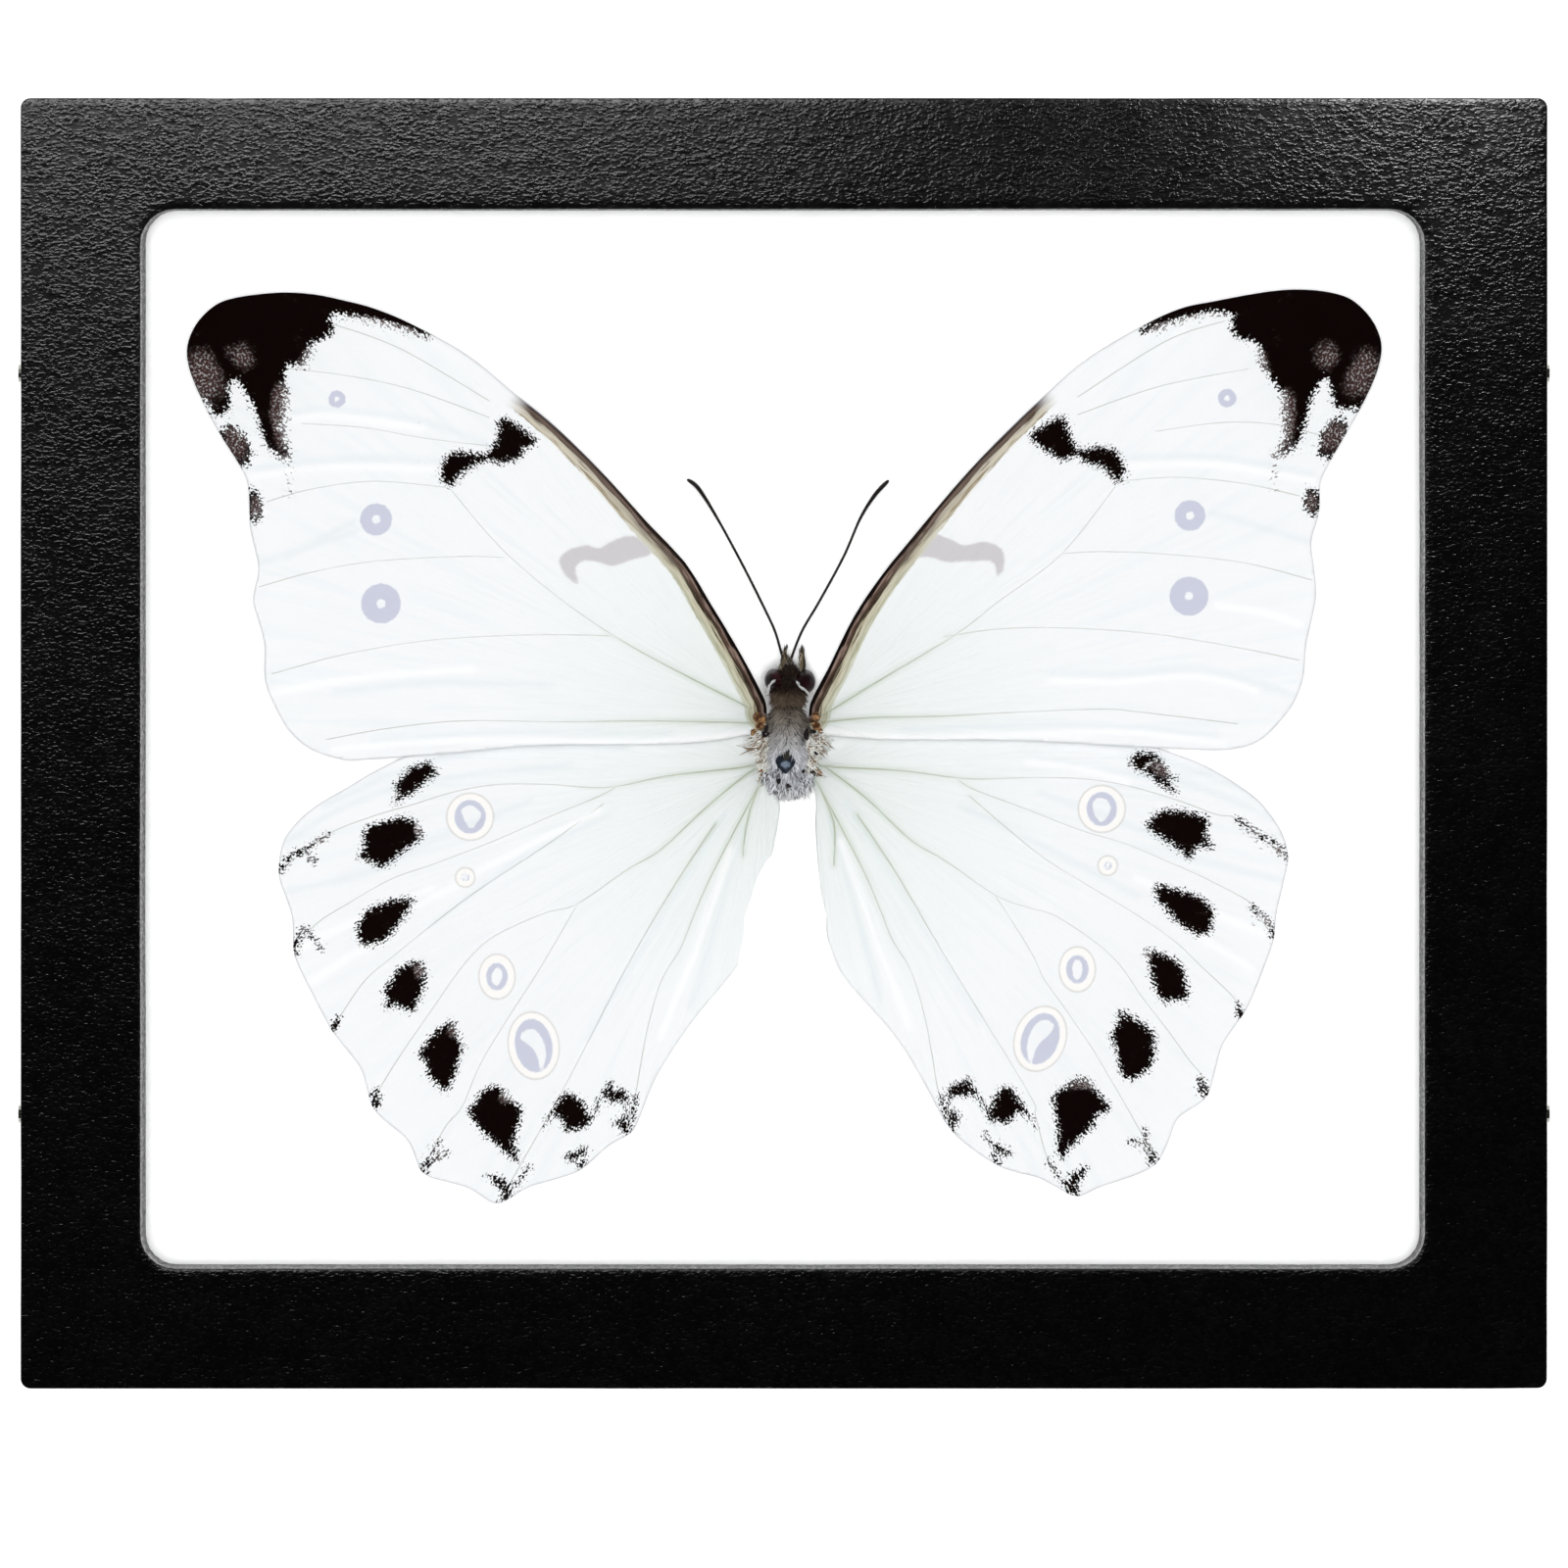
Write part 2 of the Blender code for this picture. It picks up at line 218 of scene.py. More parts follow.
OVERHEAD_STRENGTH = 1.95
SUN_STRENGTH = 0.285
SUNS = 6
SUN_TILT = math.radians(30)
SUN_SOFTNESS = math.radians(34)
sun_turns = [math.tau * (i + 0.5) / SUNS for i in range(SUNS)]
shine_ways = [(0.0, 0.0, -1.0)]
shine_ways += [(math.sin(turn) * math.sin(SUN_TILT), math.cos(turn) * math.sin(SUN_TILT),
                -math.cos(SUN_TILT)) for turn in sun_turns]
for i, way in enumerate(shine_ways):
    sun = bpy.data.lights.new(f"sun_{i}", "SUN")
    sun.energy = SUN_STRENGTH if i else OVERHEAD_STRENGTH
    sun.angle = SUN_SOFTNESS
    # Scattered rays can't reach a sun through the pane, so only direct sampling is even.
    sun.cycles.use_multiple_importance_sampling = False
    lamp = bpy.data.objects.new(sun.name, sun)
    bpy.context.scene.collection.objects.link(lamp)
    aim(lamp, way)
    lamp.visible_transmission = False
    lamp.visible_glossy = False

STRIPS = [((-0.085, 0.100, 0.109), (0.18, 0.03), 0.165),  # place, size in metres, and power
          ((0.068, 0.088, 0.065), (0.03, 0.012), 0.035)]
STRIP_AIM_Y = 0.06
gloss_takers = bpy.data.collections.new("gloss takers")  # what the strips shine on
for place, strip_size, power in STRIPS:
    strip = bpy.data.lights.new("strip", "AREA")
    strip.shape = "RECTANGLE"
    strip.size, strip.size_y = strip_size
    strip.energy = power
    lamp = bpy.data.objects.new("strip", strip)
    bpy.context.scene.collection.objects.link(lamp)
    lamp.location = place
    aim(lamp, Vector((place[0], STRIP_AIM_Y, LID_HIGH.z * MM)) - lamp.location)
    lamp.visible_transmission = False
    lamp.visible_diffuse = False
    lamp.visible_camera = False
    lamp.light_linking.receiver_collection = gloss_takers

# Room. Round the table it is pale at the horizon and dark overhead, and white to the camera.
DARK_ABOVE = 0.75  # the sine of the angle above the horizon from which the room is dark
DARK_GLOW, PALE_GLOW = 0.006, 0.35
world = bpy.data.worlds.new("studio")
bpy.context.scene.world = world
world.use_nodes = True
room = world.node_tree
sky = room.nodes["Background"]
rays, look, height, glow, shown = (room.nodes.new("ShaderNode" + kind) for kind in (
    "LightPath", "TexCoord", "SeparateXYZ", "MapRange", "MapRange"))
glow.interpolation_type = "SMOOTHSTEP"
for socket, number in (("From Min", DARK_ABOVE), ("From Max", 0.0),
                       ("To Min", DARK_GLOW), ("To Max", PALE_GLOW)):
    glow.inputs[socket].default_value = number
room.links.new(look.outputs["Generated"], height.inputs["Vector"])
room.links.new(height.outputs["Z"], glow.inputs["Value"])
room.links.new(glow.outputs["Result"], shown.inputs["To Min"])
room.links.new(rays.outputs["Is Camera Ray"], shown.inputs["Value"])
room.links.new(shown.outputs["Result"], sky.inputs["Strength"])
sky.inputs["Color"].default_value = (1.0, 1.0, 1.0, 1.0)
bpy.context.scene.view_settings.view_transform = "Standard"


# Lid. A window frame of board with a skirt on four sides, covered with black grained paper
# that is drawn round the rim, down the skirt and over the window's edge to the back.
WINDOW = (131.3, 108.5)
WINDOW_CENTRE = Vector((-0.15, 0.5))
WINDOW_R = 3.5
LIP_TOP = Vector((0.12, 0.20))  # how far the cut edge stands in from the window, at the face
LIP_FOOT = Vector((0.62, 0.45))  # and at its foot
TOP_SHIFT, FOOT_SHIFT = Vector((0.0, -0.05)), Vector((0.0, 0.10))
BOARD = 1.5
OUTER_R = 1.0
LIP_FOOT_R = WINDOW_R - 0.3
WINDOW_ROLL = Vector((1.1, 0.34))  # the paper rolls over the board's edges this far in and down
RIM_ROLL = Vector((0.8, 0.14))
ARC_STEPS = ROLL_STEPS = FACE_STEPS = 6
SKIRT_STEPS = 9
SIDE_STEP = 1.6
SWELLS = [(0.10, 23.0, Vector((0, 0, 0))), (0.035, 6.0, Vector((9, 3, 5)))]  # height, length, start

lid_size = Vector((LID_HIGH.x - LID_LOW.x, LID_HIGH.y - LID_LOW.y))
side_steps = [round(length / SIDE_STEP) for length in lid_size]


def rounded_ring(size, radius, centre, height):
    """Points round a rectangle with rounded corners, the same number whatever its size."""
    corners = ((1, 1), (-1, 1), (-1, -1), (1, -1))
    arcs = []
    for k, (right, up) in enumerate(corners):
        middle = Vector(centre) + Vector(((size[0] / 2 - radius) * right,
                                          (size[1] / 2 - radius) * up))
        turns = [(k + step / ARC_STEPS) * math.pi / 2 for step in range(ARC_STEPS + 1)]
        arcs.append([middle + radius * Vector((math.cos(t), math.sin(t))) for t in turns])
    points = []
    for k, arc in enumerate(arcs):
        start, end = arc[-1], arcs[(k + 1) % 4][0]
        parts = side_steps[k % 2]
        points += arc + [start.lerp(end, part / parts) for part in range(1, parts)]
    return [Vector((*point, height)) for point in points]


def lid_profile():
    """Rings from the window's under edge, over the face and rim, down the skirt and back."""
    top, low = LID_HIGH.z, LID_LOW.z
    outer = lid_size
    window = Vector(WINDOW)
    flat = Vector((1.0, 1.0))
    rings = [(window - 2 * LIP_FOOT, LIP_FOOT_R, WINDOW_CENTRE + FOOT_SHIFT, top - BOARD)]
    for k in range(ROLL_STEPS + 1):
        turn = math.pi / 2 * k / ROLL_STEPS
        out = WINDOW_ROLL.x * (1 - math.cos(turn))
        rings.append((window + 2 * (out * flat - LIP_TOP), WINDOW_R + out,
                      WINDOW_CENTRE + TOP_SHIFT, top - WINDOW_ROLL.y * (1 - math.sin(turn))))
    inner_size, inner_r = rings[-1][:2]
    for k in range(1, FACE_STEPS):
        share = k / FACE_STEPS
        rings.append((inner_size.lerp(outer - 2 * RIM_ROLL.x * flat, share),
                      inner_r + (OUTER_R - inner_r) * share ** 3,
                      WINDOW_CENTRE * (1 - share), top))
    for k in range(ROLL_STEPS + 1):
        turn = math.pi / 2 * k / ROLL_STEPS
        out = RIM_ROLL.x * (1 - math.sin(turn))
        rings.append((outer - 2 * out * flat, OUTER_R, Vector((0, 0)),
                      top - RIM_ROLL.y * (1 - math.cos(turn))))
    skirt_top = top - RIM_ROLL.y
    for k in range(1, SKIRT_STEPS + 1):
        rings.append((outer, OUTER_R, Vector((0, 0)),
                      skirt_top - (skirt_top - low) * (k / SKIRT_STEPS)))
    for height in (low, top - BOARD):
        rings.append((outer - 2 * BOARD * flat, OUTER_R / 2, Vector((0, 0)), height))
    return rings


def paper_swell(spot):
    """How far the covered card stands off true, in millimetres."""
    return sum(rise * noise.noise(spot / long + start) for rise, long, start in SWELLS)


bm = bmesh.new()
rings = [rounded_ring(*ring) for ring in lid_profile()]
line = [bm.verts.new(point) for point in rings[0]]
edges = [bm.edges.new(pair) for pair in zip(line, line[1:] + line[:1])]
for step, ring in enumerate(rings[1:] + rings[:1]):
    drawn = bmesh.ops.extrude_edge_only(bm, edges=edges)["geom"]
    for face in (made for made in drawn if isinstance(made, bmesh.types.BMFace)):
        face.material_index = 0 if step else 1
    fresh = {v for v in drawn if isinstance(v, bmesh.types.BMVert)}
    edges = [e for e in drawn if isinstance(e, bmesh.types.BMEdge) and fresh.issuperset(e.verts)]
    line = [next(e.other_vert(v) for e in v.link_edges if e.other_vert(v) in fresh)
            for v in line]
    for vertex, point in zip(line, ring):
        vertex.co = point
bmesh.ops.remove_doubles(bm, verts=bm.verts, dist=0.001)
bmesh.ops.recalc_face_normals(bm, faces=bm.faces)
bm.normal_update()
for vertex in bm.verts:
    vertex.co += vertex.normal * min(paper_swell(vertex.co), 0.0)

leather = Finish("black grained paper", Specular_IOR_Level=0.5)
fleck = leather.grain(0.30, 1.0, leather.turned(0.1, (0.62, 1.0, 0.8)))
crumple = leather.grain(1.1, 2.0, leather.turned(0.1, (0.7, 1.0, 1.0)))
patches = leather.grain(5.0, 3.0)
pimple = leather.step(fleck + (crumple - 0.5) * 0.5, 0.38, 0.72)
leather.set(
    Base_Color=leather.mix(pimple * (0.2 + patches), (0.0007, 0.0007, 0.0007),
                           (0.0021, 0.0021, 0.0022)),
    Roughness=0.23 + patches * 0.15 - pimple * 0.03,
    Normal=leather.bump(pimple + crumple * 0.8, 0.040))
# Painted highlight: the wall of the window's lip is a light grey for the light it catches, mottled
# by a fine grain.
lip_highlight = Finish("window lip painted highlight", Roughness=0.8, Specular_IOR_Level=0.15)
lip_mottle = lip_highlight.grain(0.4, 3.0)
lip_highlight.set(Base_Color=lip_highlight.mix(lip_highlight.step(lip_mottle, 0.35, 0.7), (0.42, 0.42, 0.42),
                                     (0.72, 0.72, 0.72)), Normal=lip_highlight.bump(lip_mottle, 0.1))
lid = to_object(bm, "lid_covered", [leather, lip_highlight])
lid.data.shade_smooth()
gloss_takers.objects.link(lid)
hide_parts("lid")


# Tray. The lower box, of the same card covered with dull black paper. It slides up inside the
# lid, so only its underside and a narrow band below the skirt show.
tray_paper = Finish("tray paper", Specular_IOR_Level=0.3)
weave = tray_paper.grain(0.5, 4.0)
rub = tray_paper.step(tray_paper.grain(9.0, 4.0), 0.5, 0.75)
tray_paper.set(Base_Color=tray_paper.mix(rub * weave, (0.012, 0.012, 0.013),
                                         (0.05, 0.049, 0.047)),
               Roughness=0.55 + weave * 0.2,
               Normal=tray_paper.bump(weave, 0.06))


def refinish(node, finish):
    """Gives a CAD piece, whose shape is kept, its worked finish."""
    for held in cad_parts[node].material_slots:
        held.material = finish.material


refinish("tray", tray_paper)


# Pane. Clear sheet glass, cut a little larger than the window and laid loose behind it, where
# the batting holds it up. The lamps shine straight through it.
pane_glass = Finish("clear pane", Roughness=0.0, Transmission_Weight=1.0, IOR=1.46,
                    Specular_IOR_Level=0.4)
smear = pane_glass.grain(40.0, 2.0)
pane_glass.set(Base_Color=pane_glass.mix(smear, (0.995, 1.0, 0.998), (1.0, 1.0, 1.0)))
refinish("glass", pane_glass)
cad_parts["glass"].visible_shadow = False


# Pins. Four plain steel pins, two on each short side, pushed through the lid's skirt and the
# tray's wall. They hold lid and tray together, and only their heads show.
pin_steel = Finish("pin steel", Metallic=1.0)
scratch = pin_steel.grain(0.25, 4.0)
pin_steel.set(Base_Color=pin_steel.mix(scratch, (0.62, 0.60, 0.55), (0.80, 0.78, 0.72)),
              Roughness=0.22 + scratch * 0.2)
for side in ("left", "right"):
    for row in ("upper", "lower"):
        refinish(f"pin_{side}_{row}", pin_steel)


# Padding. Polyester batting, one soft white sheet folded into the tray. It swells up to the
# pane, presses the wings to it, and has a hollow where the thorax lies.
PAD_LOW, PAD_HIGH = (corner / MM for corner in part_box("padding"))
PAD_TOP = 14.15
PAD_GRID = (150, 126)
PAD_LUMPS = [(0.16, 13.0, 0.0), (0.05, 3.0, 7.0)]  # height, length across, and start
PAD_EDGE = (5.0, 5.0)  # it falls away at the tray's wall this far in and down
PAD_BRIM = 15.1  # under the window's edge it presses against the pane
PAD_BRIM_REACH = (3.6, 2.4)  # from here inside the edge, over this far
BODY_X = 0.35
HOLLOW = (4.8, 2.25, 6.4, 1.4)  # the thorax's bed: depth, half width, half length, middle
ROOT_DIP = (0.75, 9.0, 12.0)  # and the shallow dip under the wing roots


def pad_height(spot):
    """The batting's upper surface in millimetres."""
    margin = min(spot.x - PAD_LOW.x, PAD_HIGH.x - spot.x,
                 spot.y - PAD_LOW.y, PAD_HIGH.y - spot.y)
    swell = sum(rise * noise.noise(Vector((spot.x, spot.y, start)) / long)
                for rise, long, start in PAD_LUMPS)
    fall = PAD_EDGE[1] * max(0.0, 1 - margin / PAD_EDGE[0]) ** 2.5
    deep, half_wide, half_long, middle = HOLLOW
    hollow = math.exp(-((spot.x - BODY_X) / half_wide) ** 6
                      - ((spot.y - middle) / half_long) ** 8)
    root_deep, root_wide, root_long = ROOT_DIP
    root = math.exp(-((spot.x - BODY_X) / root_wide) ** 2 - (spot.y / root_long) ** 2)
    inside = min(WINDOW[0] / 2 - abs(spot.x - WINDOW_CENTRE.x),
                 WINDOW[1] / 2 - abs(spot.y - WINDOW_CENTRE.y))
    brim = min(max((PAD_BRIM_REACH[0] - inside) / PAD_BRIM_REACH[1], 0.0), 1.0)
    crown = PAD_TOP + swell - deep * hollow - root_deep * root
    return crown + (PAD_BRIM - crown) * brim - fall


bm = bmesh.new()
bmesh.ops.create_grid(bm, x_segments=PAD_GRID[0], y_segments=PAD_GRID[1], size=0.5)
pad_size, pad_middle = PAD_HIGH - PAD_LOW, (PAD_LOW + PAD_HIGH) / 2
bmesh.ops.scale(bm, vec=(pad_size.x, pad_size.y, 1.0), verts=bm.verts)
bmesh.ops.translate(bm, vec=(pad_middle.x, pad_middle.y, 0), verts=bm.verts)
for vertex in bm.verts:
    vertex.co.z = pad_height(vertex.co)
border = [e for e in bm.edges if e.is_boundary]
side = bmesh.ops.extrude_edge_only(bm, edges=border)["geom"]
for vertex in (v for v in side if isinstance(v, bmesh.types.BMVert)):
    vertex.co.z = PAD_LOW.z
bmesh.ops.contextual_create(bm, geom=[e for e in side if isinstance(e, bmesh.types.BMEdge)])
bmesh.ops.recalc_face_normals(bm, faces=bm.faces)

# The faint glow is painted light, which lifts the shadows on the batting; it stands for the light
# that the fibres pass on to each other.
batting = Finish("white batting", Roughness=0.95, Specular_IOR_Level=0.05,
                 Emission_Color=(1.0, 1.0, 1.0, 1.0), Emission_Strength=0.14)
fibre = batting.grain(0.5, 5.0, batting.turned(0.4, (0.3, 1.0, 1.0)))
cloud = batting.grain(5.0, 3.0)
batting.set(Base_Color=batting.mix(cloud, (0.955, 0.958, 0.962), (0.975, 0.975, 0.975)),
            Normal=batting.bump(fibre, 0.06, batting.bump(cloud, 0.25)))
padding = to_object(bm, "padding_batting", [batting])
padding.data.shade_smooth()
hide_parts("padding")


# Wings. Four real wings, dried flat: a clear membrane stiffened by tube-like veins and covered
# with white scales, with black, lavender and cream markings where the scales are coloured.
# The forewings lie over the hindwings, and all four are held at their roots by the thorax.
WING_CELL = 0.26
WING_THICK = 0.12
WING_DIP = 0.8
WING_DIP_REACH = 6.0
OUTLINE_STEP = 0.4
OUTLINE_PASSES = 3
FAR = 6.0  # a mark's distance is not followed further than this


def through(points, closed=False, step=0.25):
    """Points about a step apart on a smooth curve through the given points."""
    points = np.array(points, float)
    count = len(points)
    runs = count if closed else count - 1
    made = []
    for i in range(runs):
        near = [points[k % count] if closed else points[min(max(k, 0), count - 1)]
                for k in (i - 1, i, i + 1, i + 2)]
        parts = max(1, round(np.linalg.norm(near[2] - near[1]) / step))
        share = np.arange(parts)[:, None] / parts
        made.append(0.5 * (2 * near[1] + (near[2] - near[0]) * share
                           + (2 * near[0] - 5 * near[1] + 4 * near[2] - near[3]) * share ** 2
                           + (3 * near[1] - near[0] - 3 * near[2] + near[3]) * share ** 3))
    if not closed:
        made.append(points[-1:])
    return np.concatenate(made)


def to_line(spots, line, closed=False):
    """Each spot's nearest point on a line of points, and how far along the line that is."""
    best = np.full(len(spots), np.inf)
    nearest = np.zeros((len(spots), 2))
    run = np.zeros(len(spots))
    ends = np.roll(line, -1, axis=0) if closed else line[1:]
    for k, (start, end) in enumerate(zip(line, ends)):
        side = end - start
        share = np.clip((spots - start) @ side / max(side @ side, 1e-12), 0, 1)
        foot = start + share[:, None] * side
        gap = ((spots - foot) ** 2).sum(1)
        closer = gap < best
        best[closer] = gap[closer]
        nearest[closer] = foot[closer]
        run[closer] = (k + share[closer]) / len(ends)
    return nearest, np.sqrt(best), run


def patch(spots, outline):
    """How far inside a closed outline each spot lies; outside it is negative."""
    depth = np.full(len(spots), -FAR)
    close = ((spots > outline.min(0) - FAR) & (spots < outline.max(0) + FAR)).all(1)
    near = spots[close]
    gap = to_line(near, outline, closed=True)[1]
    inside = np.zeros(len(near), bool)
    for (x0, y0), (x1, y1) in zip(outline, np.roll(outline, -1, axis=0)):
        if y0 != y1:
            crosses = (near[:, 1] > min(y0, y1)) & (near[:, 1] <= max(y0, y1))
            inside ^= crosses & (near[:, 0] < x0 + (near[:, 1] - y0) * (x1 - x0) / (y1 - y0))
    depth[close] = np.where(inside, gap, -np.minimum(gap, FAR))
    return depth


def oval(spots, centre, long_r, short_r, turn=0.0):
    """How far inside a turned ellipse each spot lies, near enough."""
    turn = math.radians(turn)
    away = spots - np.array(centre)
    across = np.stack((away @ (math.cos(turn), math.sin(turn)) / long_r,
                       away @ (-math.sin(turn), math.cos(turn)) / short_r))
    return np.maximum((1 - np.hypot(*across)) * (long_r + short_r) / 2, -FAR)


def stroke(spots, line, width):
    """How far inside a brush stroke each spot lies."""
    return np.maximum(width / 2 - to_line(spots, through(line))[1], -FAR)


def cad_outline(node):
    """The edge of a CAD wing seen from above, as a smooth closed line of points."""
    bm = bmesh.new()
    bm.from_mesh(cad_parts[node].data)
    bmesh.ops.remove_doubles(bm, verts=bm.verts, dist=MM / 100)
    bmesh.ops.delete(bm, geom=[f for f in bm.faces if f.normal.z < 0.5], context="FACES")
    edge = next(e for e in bm.edges if e.is_boundary)
    first = vertex = edge.verts[0]
    line = []
    while not line or vertex is not first:
        line.append(vertex.co.xy / MM)
        vertex = edge.other_vert(vertex)
        edge = next(e for e in vertex.link_edges if e.is_boundary and e is not edge)
    bm.free()
    line = through(line, closed=True, step=OUTLINE_STEP)
    for _ in range(OUTLINE_PASSES):
        line = (np.roll(line, 1, axis=0) + 2 * line + np.roll(line, -1, axis=0)) / 4
    return line


def wing_level(spots, top):
    """The wing's upper side before its pleats, which comes down to the thorax."""
    return top - WING_DIP * np.exp(-((spots[:, 0] - BODY_X) / WING_DIP_REACH) ** 2)


